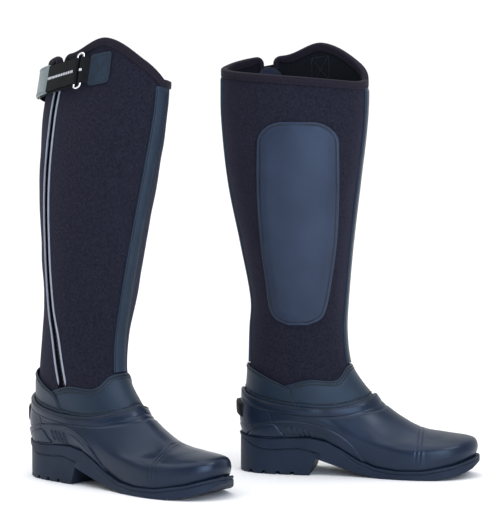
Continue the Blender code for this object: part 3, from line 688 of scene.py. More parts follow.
def make_finishes():
    """Each finish: two tones, the scale and detail of their noise, the roughness and the specular level."""
    cool = {"Specular_Tint": (0.68, 0.80, 1.0, 1)}
    rubber = Finish("rubber", (17, 26, 40), (24, 34, 52), 18, 4, 0.42, 0.36, **cool)
    rubber.rough(0.27, 0.38, 30).uneven(900, 3, 0.0001, 0.6).uneven(60, 3, 0.0006, 0.35)
    sole = Finish("sole", (20, 28, 42), (27, 36, 52), 25, 4, 0.55, 0.3, **cool)
    sole.rough(0.48, 0.62, 45).uneven(1100, 2, 0.00006, 0.6)
    Finish("black_rubber", (10, 12, 16), (16, 18, 22), 60, 4, 0.6, 0.2).uneven(1200, 2, 0.00006, 0.6)
    leathers = ("leather_look", (23, 35, 48), (30, 43, 57)), ("patch", (30, 39, 57), (37, 47, 66))
    for name, dark, light in leathers:
        leather = Finish(name, dark, light, 30, 4, 0.45, 0.35, **cool)
        leather.rough(0.34, 0.46, 50).grain(1100, 0.0001, 0.6).uneven(3000, 2, 0.00003, 0.4)
    fuzz = {"Sheen_Weight": 0.09, "Sheen_Roughness": 0.5, "Sheen_Tint": (0.45, 0.45, 0.75, 1)}
    neoprene = Finish("neoprene", (17, 17, 27), (33, 33, 46), 420, 6, 0.92, 0.12, **fuzz)
    neoprene.weave(0.0011, 0.00012, 0.6, 0.8).uneven(600, 4, 0.0003, 0.7)
    lining = Finish("lining", (16, 18, 23), (24, 26, 32), 500, 5, 0.98, 0.1, Sheen_Weight=0.03)
    lining.uneven(1200, 4, 0.0002, 0.8)
    binding = Finish("binding", (24, 21, 30), (33, 29, 40), 600, 4, 0.85, 0.12, Sheen_Weight=0.04)
    binding.ribbed("X", 0.0013, 0.00010, 0.7).uneven(1500, 3, 0.00008, 0.6)
    elastic = Finish("elastic", (8, 10, 13), (13, 15, 19), 400, 4, 0.75, 0.2)
    elastic.ribbed("X", 0.0014, 0.00018, 0.9).ribbed("Y", 0.0011, 0.00010, 0.6)
    Finish("dashes", (205, 208, 214), (240, 242, 245), 900, 4, 0.4).uneven(2500, 2, 0.00004, 0.5)
    tab = Finish("tab", (100, 113, 116), (122, 134, 137), 45, 4, 0.42, 0.5)
    tab.rough(0.36, 0.5, 60).grain(900, 0.00012, 0.6)
    Finish("tape", (17, 18, 24), (26, 27, 34), 500, 4, 0.9, 0.15).weave(0.0010, 0.00012, 0.8)
    Finish("zip_teeth", (22, 24, 31), (34, 36, 44), 300, 4, 0.4).uneven(2500, 2, 0.00003, 0.5)
    Finish("guard", (26, 32, 48), (40, 48, 68), 350, 4, 0.6, 0.25).grain(700, 0.00035, 0.9)
    Finish("piping", (112, 117, 130), (150, 155, 168), 1500, 3, 0.32, 0.7).uneven(3500, 2, 0.00005, 0.6)
    for name, dark, light, rough in (
        ("steel", (0.36, 0.37, 0.39), (0.50, 0.51, 0.53), (0.28, 0.42)),
        ("ring_metal", (0.74, 0.75, 0.77), (0.84, 0.85, 0.87), (0.10, 0.18)),
    ):
        metal = Finish(name, dark, light, 160, Metallic=1.0)
        metal.rough(*rough, 400).uneven(900, 2, 0.00001, 0.5, (1, 1, 0.05))
    for name, dark, light, settings in (
        ("thread", (4, 7, 12), (10, 14, 20), {"Sheen_Weight": 0.1}),
        ("lining_thread", (30, 36, 42), (44, 50, 58), {"specular": 0.2}),
        ("tab_thread", (66, 80, 84), (84, 98, 102), {}),
    ):
        Finish(name, dark, light, 2000, 2, 0.6, **settings).uneven(4000, 2, 0.00003, 0.6)
    Finish("board", (110, 92, 70), (136, 116, 92), 300, 4, 0.85).uneven(1200, 3, 0.0001, 0.7)


# ---- Foot ----

# Moulded lines on the galosh's sides: x, height
SWOOSH = {
    "outer": (
        (-0.002, 0.053), (0.012, 0.058), (0.04, 0.0645), (0.076, 0.068), (0.094, 0.0645),
        (0.11, 0.057), (0.124, 0.0455), (0.135, 0.031), (0.149, 0.015),
    ),
    "inner": (
        (0.02, 0.056), (0.046, 0.062), (0.076, 0.063), (0.101, 0.0586), (0.12, 0.051),
        (0.136, 0.0397), (0.149, 0.0227), (0.155, 0.014),
    ),
}
HEEL_PANEL = (
    (0.012, 0.044), (0.018, 0.05), (0.028, 0.056), (0.042, 0.06), (0.048, 0.0585), (0.053, 0.052),
    (0.0575, 0.045), (0.04, 0.0432),
)
HEEL_CREASE = ((0.029, 0.08), (0.038, 0.074), (0.0425, 0.067), (0.043, 0.062))
RIB_FROM = 0.061
RIB_STEP = 0.0064
TOE_SEAMS = (0.214, 0.2187)


def line_distance(x, z, line, closed=False):
    """Distance to a line of straight pieces, in a side view."""
    points = np.array(line, float)
    if closed:
        points = np.vstack([points, points[:1]])
    best = np.full(x.shape, 1.0)
    for (x0, z0), (x1, z1) in zip(points, points[1:]):
        dx, dz = x1 - x0, z1 - z0
        f = np.clip(((x - x0) * dx + (z - z0) * dz) / (dx * dx + dz * dz), 0, 1)
        best = np.minimum(best, np.hypot(x - x0 - f * dx, z - z0 - f * dz))
    return best


def rounded_line(line, count=60):
    """A smooth curve through the same points, as many short pieces."""
    table = [(i, *point) for i, point in enumerate(line)]
    x, z = smooth(table, np.linspace(0, len(line) - 1, count))
    return np.stack([x, z], -1)


def inside(x, z, line):
    """Whether points lie in a closed outline, in a side view."""
    points = np.array(line, float)
    found = np.zeros(x.shape, bool)
    for (x0, z0), (x1, z1) in zip(points, np.roll(points, -1, 0)):
        crosses = (z0 > z) != (z1 > z)
        at = x0 + (z - z0) * (x1 - x0) / np.where(z1 == z0, 1e-9, z1 - z0)
        found ^= crosses & (x < at)
    return found


def moulding(x, z, outer):
    """How far the galosh's moulded details stand out from its side."""
    line = rounded_line(SWOOSH["outer" if outer else "inner"])
    level = np.interp(x, line[:, 0], line[:, 1])
    away = line_distance(x, z, line)
    below = (z < level) & (x < line[-1, 0])
    raised = np.where(below, ease(away, 0, 0.0013), 0)
    bold = 1.0 if outer else 0.6
    height = 0.0015 * bold * raised
    height += groove(np.where(below, 1.0, away), 0.0007 * bold, 0.0016)
    height += groove(away - 0.0052, 0.0007 * bold, 0.0012) * below * ease(x, 0.085, 0.1)

    panel = rounded_line(HEEL_PANEL + HEEL_PANEL[:1], 70)
    edge = line_distance(x, z, panel)
    within = inside(x, z, panel)
    height += np.where(within, 0.0006 * ease(edge, 0.0006, 0.0022), 0)
    height += groove(edge, 0.0012, 0.0012)

    # Slanted ribs behind the swoosh's crest, thick at their upper ends
    slanted = (x - RIB_FROM - 0.3 * (0.06 - z)) / RIB_STEP
    rows = 4 if outer else 5
    which = np.clip(np.round(slanted), 0, rows - 1)
    offset = np.abs(slanted - which) * RIB_STEP
    top = level - 0.0055 - 0.0006 * which
    low = 0.0475 - 0.0008 * which
    length = ease(z, low, low + 0.004) * (1 - ease(z, top - 0.002, top))
    height += 0.0019 * bold * (1 - ease(offset, 0.0007, 0.0021)) * length

    return height + groove(line_distance(x, z, rounded_line(HEEL_CREASE, 24)), 0.0006 * bold)


def make_galosh(boot):
    columns = 560
    degrees = np.arange(columns) * 360 / columns
    shares = np.concatenate([np.linspace(0, 0.93, 84), np.linspace(0.94, 1, 9)])
    ring, v = np.meshgrid(degrees, shares)
    body = boot.foot_face(ring, v)
    band_rows = np.array([2, 6, 12, 22, 34, 46, 58, 70, 82, 90, 95]) * 1e-4
    band = boot.leg(degrees, band_low(degrees) + band_rows[:, None], band_out(ring[: len(band_rows)]))
    base = np.concatenate([body, band])
    around = np.roll(base, -1, 1) - np.roll(base, 1, 1)
    out = unit(boot.side * np.cross(around, np.gradient(base, axis=0)))

    x, z = base[..., 0], base[..., 2]
    turn = np.broadcast_to(degrees, x.shape)
    on_band = np.arange(len(base))[:, None] >= len(shares)
    share = np.where(on_band, 1.0, np.concatenate([shares, band_rows])[:, None])
    rise = np.concatenate([0 * shares, band_rows])[:, None] + 0 * x
    under = np.zeros(x.shape)  # distance below the band
    under[: len(shares)] = band_low(ring) - body[..., 2]

    height = np.where(turn < 180, moulding(x, z, True), moulding(x, z, False))
    height *= 1 - ease(fold(turn), 172, 179)
    height *= np.where(on_band, 0, ease(under, 0.001, 0.004))
    height += np.where(on_band, 0, groove(under - 0.0008, 0.0008, 0.0018))
    bulge = 0.0004 * ease(rise, 0.0, 0.0006) + 0.0003 * np.sin(np.pi * np.clip(rise / BAND_HEIGHT, 0, 1))
    bulge += rolled(BAND_HEIGHT - rise, 0.0014) + groove(rise - BAND_SEAM, 0.0005, 0.0013)
    height += np.where(on_band, bulge, 0)

    # Toe cap: a double seam, with the cap itself a little lower
    across = 1 - ease(fold(turn), 88, 110)
    for seam in TOE_SEAMS:
        line = groove(x - seam - 0.1 * np.minimum(0, z - 0.045), 0.0009, 0.0012)
        height += line * across * ease(share, 0.06, 0.14)
    height -= 0.0005 * ease(x, TOE_SEAMS[1], TOE_SEAMS[1] + 0.004) * across
    height += groove(share, 0.0005, 0.03)  # crease where the galosh meets the sole
    skin = shell(base + height[..., None] * out, base - (RUBBER - 0.0002) * out, ring=True)
    uv = np.stack([np.radians(turn) * 0.08, z], -1)
    add_piece(boot, "galosh", skin, "rubber", "foot", uv, lined=(len(base) - 1) * columns, sharp=60)

    turn = np.arange(0, 360.5, 0.5)
    row = (turn, band_low(turn) + BAND_SEAM, band_out(turn) + 0.0004)
    add_threads(boot, "band_threads", [row], "foot", "rubber")


def sole_body(boot, inset, stations, low, high, rows, across, bulge):
    """A plate with the sole's outline. `low` and `high` give heights from x and the share of the way across,
    `bulge` how far its side stands out at an x and a height."""
    half = SOLE_LENGTH / 2 - inset
    theta = np.degrees(np.arccos(np.clip((stations - SOLE_LENGTH / 2) / half, -1, 1)))
    sides = []
    for sign in (1, -1):
        x, y = boot.feather(sign * theta, -inset)
        ahead_x, ahead_y = boot.feather(sign * (theta - 0.5), -inset)
        back_x, back_y = boot.feather(sign * (theta + 0.5), -inset)
        normal = np.stack([back_y - ahead_y, ahead_x - back_x], -1) * sign * boot.side
        sides.append((x, y, unit(normal)))
    (x, outer_y, outer_n), (_, inner_y, inner_n) = sides
    up = np.linspace(0, 1, rows)

    def side_rows(y, normal, share_across):
        bottom, top = low(x, share_across), high(x, share_across)
        z = bottom[:, None] + (top - bottom)[:, None] * up
        stand = bulge(x[:, None] + 0 * z, z, bottom[:, None], top[:, None])
        return np.stack([x[:, None] + normal[:, :1] * stand, y[:, None] + normal[:, 1:] * stand, z], -1)

    one = side_rows(outer_y, outer_n, np.ones_like(x))
    two = side_rows(inner_y, inner_n, np.zeros_like(x))
    shares = np.linspace(0, 1, across)[1:-1]

    def crossing(start, end, height):
        found = start[:, None] + (end - start)[:, None] * shares[:, None]
        found[..., 2] = height(np.repeat(x[:, None], len(shares), 1), shares + 0 * x[:, None])
        return found

    bottom = crossing(two[:, 0], one[:, 0], low)
    top = crossing(one[:, -1], two[:, -1], lambda a, s: high(a, 1 - s))
    return np.concatenate([bottom, one, top, two[:, ::-1]], 1)


def make_outsole(boot):
    edges = [x + s * NOTCH_HALF + t for x in TREAD_X for s in (-1, 1) for t in (-SHARP, SHARP)]
    edges += [0.0873, 0.0877, 0.0943, 0.0947]  # both ends of the heel's sloping front
    stations = np.concatenate([spread(0, SOLE_LENGTH, 0.8, 420), edges])
    stations = np.unique(np.round(stations, 6))

    def under(x, share):
        z = linear(SOLE_UNDER, x)
        for notch in TREAD_X:
            z = z + TREAD * (1 - ease(np.abs(x - notch), NOTCH_HALF - SHARP, NOTCH_HALF + SHARP))
        middle = np.abs(share - 0.5)
        chevron = np.mod(x + 0.012 * middle, CHEVRON) - CHEVRON / 2
        fore = ease(x, 0.15, 0.156) * (1 - ease(x, 0.262, 0.268)) * (1 - ease(middle, 0.36, 0.39))
        return z + 0.0022 * (1 - ease(np.abs(chevron), 0.0012, 0.0019)) * fore

    def over(x, share):
        return linear(SOLE_TOP, x)

    def bulge(x, z, bottom, top):
        step = linear(SOLE_STEP, x)
        heel = groove(z - step + 0.0008, 0.0008, 0.0012)
        heel -= HEEL_STEP * (1 - ease(z, step - 0.0006, step + 0.0006))
        seam = groove(z - top + 0.0036, 0.0009, 0.0011) * ease(x, 0.118, 0.14)
        edge = rolled(top - z, EDGE) + rolled(np.maximum(z - bottom, 0), 0.0012)
        return heel * (1 - ease(x, 0.094, 0.102)) + seam + edge

    skin = tube(sole_body(boot, 0, stations, under, over, 46, 27, bulge))
    add_piece(boot, "outsole", skin, "sole", "foot", skin[0][:, :2], sharp=32)


def make_footbed(boot):
    inset = WELT + RUBBER + 0.007
    stations = spread(inset + 0.002, SOLE_LENGTH - inset - 0.006, 2, 180)

    def under(x, share):
        return linear(SOLE_TOP, x) + 0.005

    def over(x, share):
        cup = 0.0022 * (np.abs(share - 0.5) * 2) ** 2.5 * (1 - ease(x, 0.12, 0.2))
        return linear(SOLE_TOP, x) + 0.008 + cup

    def bulge(x, z, bottom, top):
        return rolled(top - z, 0.0012)

    skin = tube(sole_body(boot, inset, stations, under, over, 8, 23, bulge))
    add_piece(boot, "footbed", skin, "lining", "foot", skin[0][:, :2])


def make_spur_rest(boot):
    reach = SPUR_REACH
    turn = 180 + reach * np.linspace(-1, 1, 61)
    heights = np.array([0, 0.04, 0.12, 0.3, 0.5, 0.7, 0.86, 0.95, 1.0])
    shelf = np.array([0.1, 0.45, 0.62, 0.72, 0.8, 0.9, 1.0, 0.92, 0.1])
    degrees, row = np.meshgrid(turn, np.arange(len(heights)))
    z = SPUR_LOW + (SPUR_HIGH - SPUR_LOW) * heights[row]
    base = linear(SOLE_TOP, 0)
    v = (z - base) / (band_low(180) - base)
    away = boot.outward(degrees)
    fade = np.sqrt(np.clip(1 - (np.abs(degrees - 180) / reach) ** 4, 0, 1))
    stand = 0.0003 + 0.0045 * shelf[row] * fade
    face = boot.foot_face(degrees, v)
    skin = shell(face + stand[..., None] * away, face - 0.0006 * away)
    add_piece(boot, "spur_rest", skin, "black_rubber", "foot")


def collar_heights(degrees, v, top):
    """Heights on the collar, and those of the band's lower edge and of its own top edge."""
    low, high = band_low(degrees), smooth(top, fold(degrees))
    return low + 0.001 + (high - low - 0.001) * v, low, high


def make_collar(boot):
    inner = LEATHER + COLLAR_OFF
    turn = VAMP_REACH * (2 * steps(2 * VAMP_REACH, 0.9, 1.5) - 1)
    up = steps(0.038, 0.0011)
    degrees, v = np.meshgrid(turn, up)
    z, low, high = collar_heights(degrees, v, VAMP_TOP)
    below = high - z
    out = inner + rolled(below, EDGE) + 0.0006 * np.sin(np.pi * np.clip(v * 1.2, 0, 1))
    out = out + groove(below - ROW_DROP) + groove(below - SECOND_ROW, 0.0006, 0.0013)
    out = out + groove(z - low - SEAM_DROP)
    wall(boot, "vamp_collar", degrees, z, out, LEATHER, "leather_look")

    outer = 2 * LEATHER + COLLAR_OFF + GAP
    side, v = np.meshgrid(steps(360 - 2 * COUNTER_REACH, 0.9, 1.5), up)
    reach = COUNTER_REACH + COUNTER_SWEEP * v**3
    degrees = reach + (360 - 2 * reach) * side
    z, low, high = collar_heights(degrees, v, COUNTER_TOP)
    margin = np.minimum(high - z, (fold(degrees) - reach) / boot.turn_per_metre(degrees, z))
    out = outer + rolled(margin, EDGE) + groove(margin - ROW_DROP) + groove(z - low - SEAM_DROP)
    wall(boot, "counter_collar", degrees, z, out, LEATHER, "leather_look")

    front = np.arange(-97, 97.5, 0.5)
    rows = [(front, smooth(VAMP_TOP, fold(front)) - drop, inner) for drop in (ROW_DROP, SECOND_ROW)]
    ahead = np.arange(-90, 90.5, 0.5)
    back = np.arange(COUNTER_REACH + 4, 360 - COUNTER_REACH - 3.5, 0.5)
    rows.append((ahead, band_low(ahead) + SEAM_DROP, inner + 0.0004))
    rows.append((back, smooth(COUNTER_TOP, fold(back)) - ROW_DROP, outer + 0.0001))
    rows.append((back, band_low(back) + SEAM_DROP, outer + 0.0001))
    v = np.linspace(0.32, 0.9, 12)
    reach = COUNTER_REACH + COUNTER_SWEEP * v**3 + 2.2
    z = collar_heights(reach, v, COUNTER_TOP)[0]
    rows += [(sign * reach, z, outer + 0.0001) for sign in (1, -1)]
    add_threads(boot, "collar_threads", rows, "ankle")


# ---- Shaft ----


def make_panels(boot):
    seam = 1.5
    up = steps(0.36, 0.0028, 0.002)

    def panel(name, start, end, width, seed):
        side, v = np.meshgrid(steps(width, 0.0024, 0.0015), up)
        degrees = start(0.3 + 0 * v) * (1 - side) + end(0.3 + 0 * v) * side
        for _ in range(4):
            low = boot.shaft_low(degrees)
            z = low + (boot.rim(degrees) - low) * v
            degrees = start(z) * (1 - side) + end(z) * side
        soft = ease(z, 0.13, 0.2) * (1 - ease(z, 0.42, 0.455))
        calm = 1 - near(fold(degrees) - 105, 30) * (np.mod(degrees, 360) < 180)
        out = -0.0002 + 0.0005 * wander(np.radians(degrees) * 0.07, z, seed) * soft * calm
        out = out + groove(v - 1, 0.0005, 0.002 / 0.36)
        wall(boot, name, degrees, z, out, NEOPRENE - 0.0002, "neoprene", lined=True)

    def beside(edge):
        return lambda z: boot.beside_zip(z, edge)

    def at(angle):
        return lambda z: angle + 0 * z

    panel("lateral_front_panel", at(seam), beside(-ZIP_GAP), 0.145, 3)
    panel("lateral_rear_panel", beside(ZIP_GAP), at(180 - seam), 0.075, 5)
    panel("medial_panel", at(180 + seam), at(360 - seam), 0.22, 7)


def make_binding(boot):
    """Knit tape folded over the shaft's top edge, and round the corners beside the zip."""
    middle = float(boot.zip_line(ZIP_TOP)[0])
    per_metre = float(boot.turn_per_metre(middle, ZIP_TOP))
    rear, front = middle + ZIP_GAP * per_metre, middle - ZIP_GAP * per_metre + 360
    arc = np.radians(np.linspace(0, 90, 14))
    aside = LOBE * (1 - np.cos(arc)) * per_metre
    fall = LOBE * (1 - np.sin(arc))
    tail = np.linspace(0.006, 0.001, 5)

    def corner(edge, sign):
        turn = edge + sign * aside
        z = boot.plain_rim(turn) - fall
        down = z[0] - tail
        return np.concatenate([np.full(len(tail), edge), turn]), np.concatenate([down, z])

    start_turn, start_z = corner(rear, 1)
    end_turn, end_z = corner(front, -1)
    turn = np.linspace(start_turn[-1] + 1, end_turn[-1] - 1, 300)
    degrees = np.concatenate([start_turn, turn, end_turn[::-1]])
    z = np.concatenate([start_z, boot.plain_rim(turn), end_z[::-1]])

    per = boot.turn_per_metre(degrees, z)
    edge = unit(np.stack([-np.gradient(z), np.gradient(degrees) / per], -1))

    t = np.radians(np.linspace(90, -90, 13))
    cap = [(-0.00225 + 0.0039 * math.sin(a), 0.002 * math.cos(a)) for a in t]
    lining = [(-0.00225 + 0.0029 * math.sin(a), 0.001 * math.cos(a)) for a in -t]
    profile = (
        [(0.0003, -0.007), (0.0006, -0.0075), (0.0012, -0.0075), (0.0016, -0.0068), (0.0016, -0.0058)]
        + [(0.0013, -0.0053), (0.0016, -0.0048), (0.0018, -0.003), (0.0017, -0.0012)]
        + cap
        + [(-0.0062, -0.0012), (-0.0062, -0.0048), (-0.0059, -0.0053), (-0.0061, -0.0058)]
        + [(-0.0061, -0.0068), (-0.0056, -0.0075), (-0.0048, -0.007)]
        + lining
    )
    count = len(degrees)
    ends = np.minimum(np.arange(count), np.arange(count)[::-1])
    depth = 0.55 + 0.45 * ease(ends, 14, 26)
    puff = 1 + 0.05 * wander(np.radians(degrees) * 0.06, 0 * z, 11)
    sections = []
    for out, up in profile:
        reach = up * (depth if up < 0 else puff)
        at = degrees + reach * edge[:, 0] * per
        sections.append(boot.leg(at, z + reach * edge[:, 1], out))
    sections = np.stack(sections, 1)
    along = reach_along(sections[:, 9])
    uv = np.stack([np.repeat(along, len(profile)), np.tile(np.arange(len(profile)) * 0.001, count)], -1)
    add_piece(boot, "top_binding", tube(sections), "binding", uv=uv, sharp=70)

    keep = slice(22, count - 22)
    row = -0.0053
    at = (degrees + row * edge[:, 0] * per)[keep]
    height = (z + row * edge[:, 1])[keep]
    rows = [(at, height, 0.0014), (at, height, -0.006)]
    add_threads(boot, "binding_threads", rows, "shaft", "binding", "binding", FINE_THREAD)


def make_strips(boot):
    for name, middle in (("shin_strip", 0), ("back_strip", 180)):
        low = float(boot.shaft_low(middle)) + TUCK + 0.0015
        high = float(smooth(RIM, middle)) - 0.006
        side, v = np.meshgrid(steps(2 * STRIP_HALF, 0.0011), steps(high - low, 0.0022))
        z = low + (high - low) * v
        metres = (side - 0.5) * 2 * STRIP_HALF
        degrees = middle + metres * boot.turn_per_metre(middle, z)
        margin = STRIP_HALF - np.abs(metres)
        out = SHEET_OUT + rolled(margin, EDGE) + groove(margin - STRIP_ROW, 0.0006, 0.0012)
        out = out + 0.0004 * ease(margin, 0.003, 0.009) - 0.0012 * ease(z, high - 0.006, high - 0.002)
        wall(boot, name, degrees, z, out, LEATHER, "leather_look", uv=np.stack([metres, z], -1))
        z = np.linspace(low + 0.002, high - 0.006, 160)
        aside = (STRIP_HALF - STRIP_ROW) * boot.turn_per_metre(middle, z)
        rows = [(middle + sign * aside, z, SHEET_OUT + 0.0001) for sign in (-1, 1)]
        add_threads(boot, f"{name}_threads", rows, "ankle", radius=FINE_THREAD)


def patch_edges(z):
    """Rear and front x of the calf patch, with round upper corners."""
    rear, front = smooth(PATCH_EDGES, z)
    corner = -1.25 * rolled(PATCH_TOP - z, PATCH_CORNER)
    return rear + corner, front - corner


def make_patch(boot):
    heights = spread(PATCH_LOW, PATCH_TOP, 0, 150)
    side, z = np.meshgrid(steps(0.096, 0.0018), heights)
    rear, front = patch_edges(z)
    x = rear + (front - rear) * side

    def inner_side(x, z):
        centre, _, deep, _ = boot.section(z)
        return 360 - np.degrees(np.arccos(np.clip((x - centre) / deep, -1, 1)))

    rear_line, front_line = (np.stack([line, heights], -1) for line in patch_edges(heights))
    outline = np.vstack([rear_line, front_line[::-1]])
    margin = line_distance(x, z, outline, closed=True)
    out = SHEET_OUT + rolled(margin, EDGE) + groove(margin - PATCH_ROW)
    out = out + 0.001 * ease(margin, 0.0035, 0.014)
    wall(boot, "calf_patch", inner_side(x, z), z, out, LEATHER, "patch", "shaft", np.stack([x, z], -1))

    tangent = np.roll(outline, -1, 0) - np.roll(outline, 1, 0)
    inward = unit(np.stack([tangent[:, 1], -tangent[:, 0]], -1))
    middle = np.array([outline[:, 0].mean(), (PATCH_LOW + PATCH_TOP) / 2])
    inward *= np.sign(((middle - outline) * inward).sum(1))[:, None]
    path = outline + PATCH_ROW * inward
    x, z = np.vstack([path, path[:1]]).T
    row = (inner_side(x, z), z, SHEET_OUT - 0.0001)
    add_threads(boot, "calf_patch_threads", [row], "shaft", "patch")


# ---- Zip ----


def zip_frames(boot, z):
    """Points on the chain's middle, and the directions across, along and out of it."""
    degrees, depth = boot.zip_line(z)
    point = boot.leg(degrees, z, depth)
    along = unit(np.gradient(point, axis=0))
    across = unit(np.cross(along, boot.normal(degrees, z)))
    return point, across, along, np.cross(across, along)


def zip_band(boot, name, start, end, low, high, out, thick, finish, dome=0.0):
    """A flat band beside the chain's middle. `dome` is how far its upper corners fall."""
    side, v = np.meshgrid(steps(end - start, 0.0012, 0.0006), steps(high - low, 0.0028))
    aside = start + (end - start) * side
    fall = dome * (1 - np.sqrt(1 - np.clip(np.abs(aside) / (end + 0.0002), 0, 1) ** 2))
    z = low + (high - fall - low) * v
    degrees = boot.beside_zip(z, aside)
    return wall(boot, name, degrees, z, out(aside), thick, finish, uv=np.stack([aside, z], -1))


def make_chain(boot):
    """Moulded teeth in two interlocked rows."""
    count = int((ZIP_HIGH - ZIP_LOW) / TOOTH_PITCH)
    point, across, along, out = zip_frames(boot, np.linspace(ZIP_LOW + 0.001, ZIP_HIGH, count))
    pieces = []
    t = circle(8) + math.pi / 8
    outline = np.stack([0.0017 * np.cos(t), 0.00135 * np.sin(t)], -1)
    levels = ((-0.0012, 0.9), (0.0005, 1.0), (0.001, 0.86), (0.0012, 0.55))
    for i in range(count):
        centre = point[i] + (0.0006 if i % 2 else -0.0006) * across[i]
        pieces.append(slab(centre, (across[i], along[i], out[i]), outline, levels))
    add_piece(boot, "zip_chain", joined(pieces), "zip_teeth", "ankle")


def make_zip(boot):
    make_chain(boot)

    def tape_out(aside):
        return TAPE_OUT + 0 * aside

    def guard_out(aside):
        crown = 0.001 * np.cos(np.clip(np.abs(aside) / GUARD_HALF, 0, 1) * np.pi / 2)
        return GUARD_OUT + crown + groove(np.abs(aside) - 0.0135, 0.0006, 0.0016)

    tape = (TAPE_LOW, TAPE_HIGH, tape_out, TAPE_THICK, "tape")
    zip_band(boot, "zip_tape_front", -TAPE_OUTER, -TAPE_INNER, *tape)
    zip_band(boot, "zip_tape_rear", TAPE_INNER, TAPE_OUTER, *tape)
    guard = (GUARD_LOW, ZIP_TOP, guard_out, GUARD_THICK, "guard", GUARD_DOME)
    zip_band(boot, "zip_guard", -GUARD_HALF, GUARD_HALF, *guard)

    for name, aside in (("piping_front", -PIPING_ASIDE), ("piping_rear", PIPING_ASIDE)):
        z = np.linspace(PIPING_LOW, PIPING_HIGH, 190)
        degrees = boot.beside_zip(z, aside)
        path = boot.leg(degrees, z, 0.0001)
        out = boot.normal(degrees, z)
        across = np.cross(unit(np.gradient(path, axis=0)), out)
        order = np.arange(len(z))
        radius = PIPING * np.sqrt(np.clip(np.minimum(order, order[::-1]) / 3, 0.05, 1))
        add_piece(boot, name, tube(rod(path, across, out, radius, radius, 12)), "piping", "ankle")
    make_slider(boot)


def slab(centre, axes, outline, heights, closed=False):
    """A plate: an outline in the first two axes, lofted over (height, scale) along the third."""
    rings = []
    for height, grow in heights:
        flat = outline * grow
        rings.append(centre + flat[:, :1] * axes[0] + flat[:, 1:] * axes[1] + height * axes[2])
    return tube(np.array(rings), closed)


def make_slider(boot):
    z = SLIDER_AT + np.array([-0.002, 0, 0.002])
    point, across, along, out = (values[1] for values in zip_frames(boot, z))
    turn = Matrix.Rotation(-boot.side * math.radians(SLIDER_TWIST), 3, Vector(along))
    across, out = np.array(turn @ Vector(across)), np.array(turn @ Vector(out))
    t = circle(28)
    # Body: wide at the top, where the two tapes part, and narrow at its foot
    body = np.stack([(0.0019 + 0.0004 * np.sin(t)) * blunt(t, 0.6), 0.0042 * np.sin(t)], -1)
    levels = ((0.0019, 0.9), (0.0022, 1.0), (0.0031, 1.0), (0.0034, 0.9))
    plate = slab(point, (across, along, out), body, levels)
    a = np.radians(np.linspace(-80, 80, 15))[:, None]
    middle = point + along * 0.003 * np.sin(a) + out * (0.0031 + 0.0022 * np.cos(a))
    direction = unit(along * np.cos(a) * 0.003 - out * np.sin(a) * 0.0022)
    across_each = np.broadcast_to(across, middle.shape)
    loop = rod(middle, across_each, np.cross(across_each, direction), 0.0009, 0.0005, 8)
    add_piece(boot, "zip_slider", joined([plate, tube(loop)]), "steel", "zip_slider")

    # Puller: a flat tag with a hole
    centre = point + along * (0.003 - 0.006) + out * 0.0052
    tag = np.stack([(0.0016 + 0.0002 * np.sin(t)) * blunt(t, 0.7), 0.0062 * np.sin(t)], -1)
    levels = ((-0.0005, 1), (0.0, 1.02), (0.0005, 1), (0.0005, 0.45), (-0.0005, 0.45))
    skin = slab(centre, (across, along, out), tag, levels, closed=True)
    add_piece(boot, "zip_puller", skin, "steel", "zip_puller")


# ---- Strap ----


def strap_z(degrees):
    return smooth(STRAP_Z, degrees)


def strap_band(boot, name, turn, width, out, thick, finish, body="shaft", corner=0.0):
    """A band round the shaft, along angles; `out` is its outer face's height at each angle."""
    degrees, side = np.meshgrid(turn, steps(width, 0.0016))
    metres = (degrees - turn[0]) / boot.turn_per_metre(degrees, strap_z(degrees))
    ends = np.minimum(metres, metres.max() - metres)
    half = width / 2 + (rolled(ends, corner) if corner else 0)
    z = strap_z(degrees) + (side - 0.5) * 2 * half
    margin = np.minimum(side, 1 - side) * width
    level = np.interp(degrees, turn, out)
    outer = boot.leg(degrees, z, level + rolled(margin, thick * 0.5) * 0.8)
    uv = np.stack([metres, (side - 0.5) * width], -1)
    return add_piece(boot, name, shell(outer, boot.leg(degrees, z, level - thick)), finish, body, uv)


def bar_frame(boot, turn, share):
    """A ring bar's middle at shares of the strap's width, with the directions out and along the strap.

    The bar is straight between the strap's two edges, because it is the axis that the free run turns on."""
    z = strap_z(turn) + share * STRAP_WIDTH
    low, high = (boot.leg(turn, strap_z(turn) + side * STRAP_WIDTH, RING_MIDDLE) for side in (-0.5, 0.5))
    middle = low + (share[:, None] + 0.5) * (high - low)
    return middle, boot.normal(turn, z), boot.onward(turn, z)


def add_wrap(boot, name, bar_turn, run_turns, run_outs, towards, **settings):
    """An elastic that comes along the shaft and turns round a ring bar."""
    share = np.linspace(-0.5, 0.5, 21) * LOOP_WIDTH / STRAP_WIDTH
    middle, out, ahead = bar_frame(boot, bar_turn, share)
    outer, inner = [], []

    def add_row(turn, level, thick):
        z = strap_z(turn) + share * STRAP_WIDTH
        outer.append(boot.leg(turn, z, level))
        inner.append(boot.leg(turn, z, level - thick))

    for turn, level in zip(run_turns, run_outs):
        add_row(turn, level, LOOP_THICK)
    for a in np.radians(np.linspace(0, 180, 15)):
        direction = math.cos(a) * out + math.sin(a) * towards * ahead
        outer.append(middle + LOOP_RADIUS * direction)
        inner.append(middle + (LOOP_RADIUS - LOOP_THICK) * direction)
    add_row(bar_turn - towards * 2.2, RING_MIDDLE - LOOP_RADIUS, -LOOP_THICK)
    outer = np.array(outer)
    along = reach_along(outer[:, 10])
    uv = np.stack(np.broadcast_arrays(along[:, None], np.linspace(0, STRAP_WIDTH, len(share))), -1)
    add_piece(boot, name, shell(outer, np.array(inner)), "elastic", uv=uv, **settings)


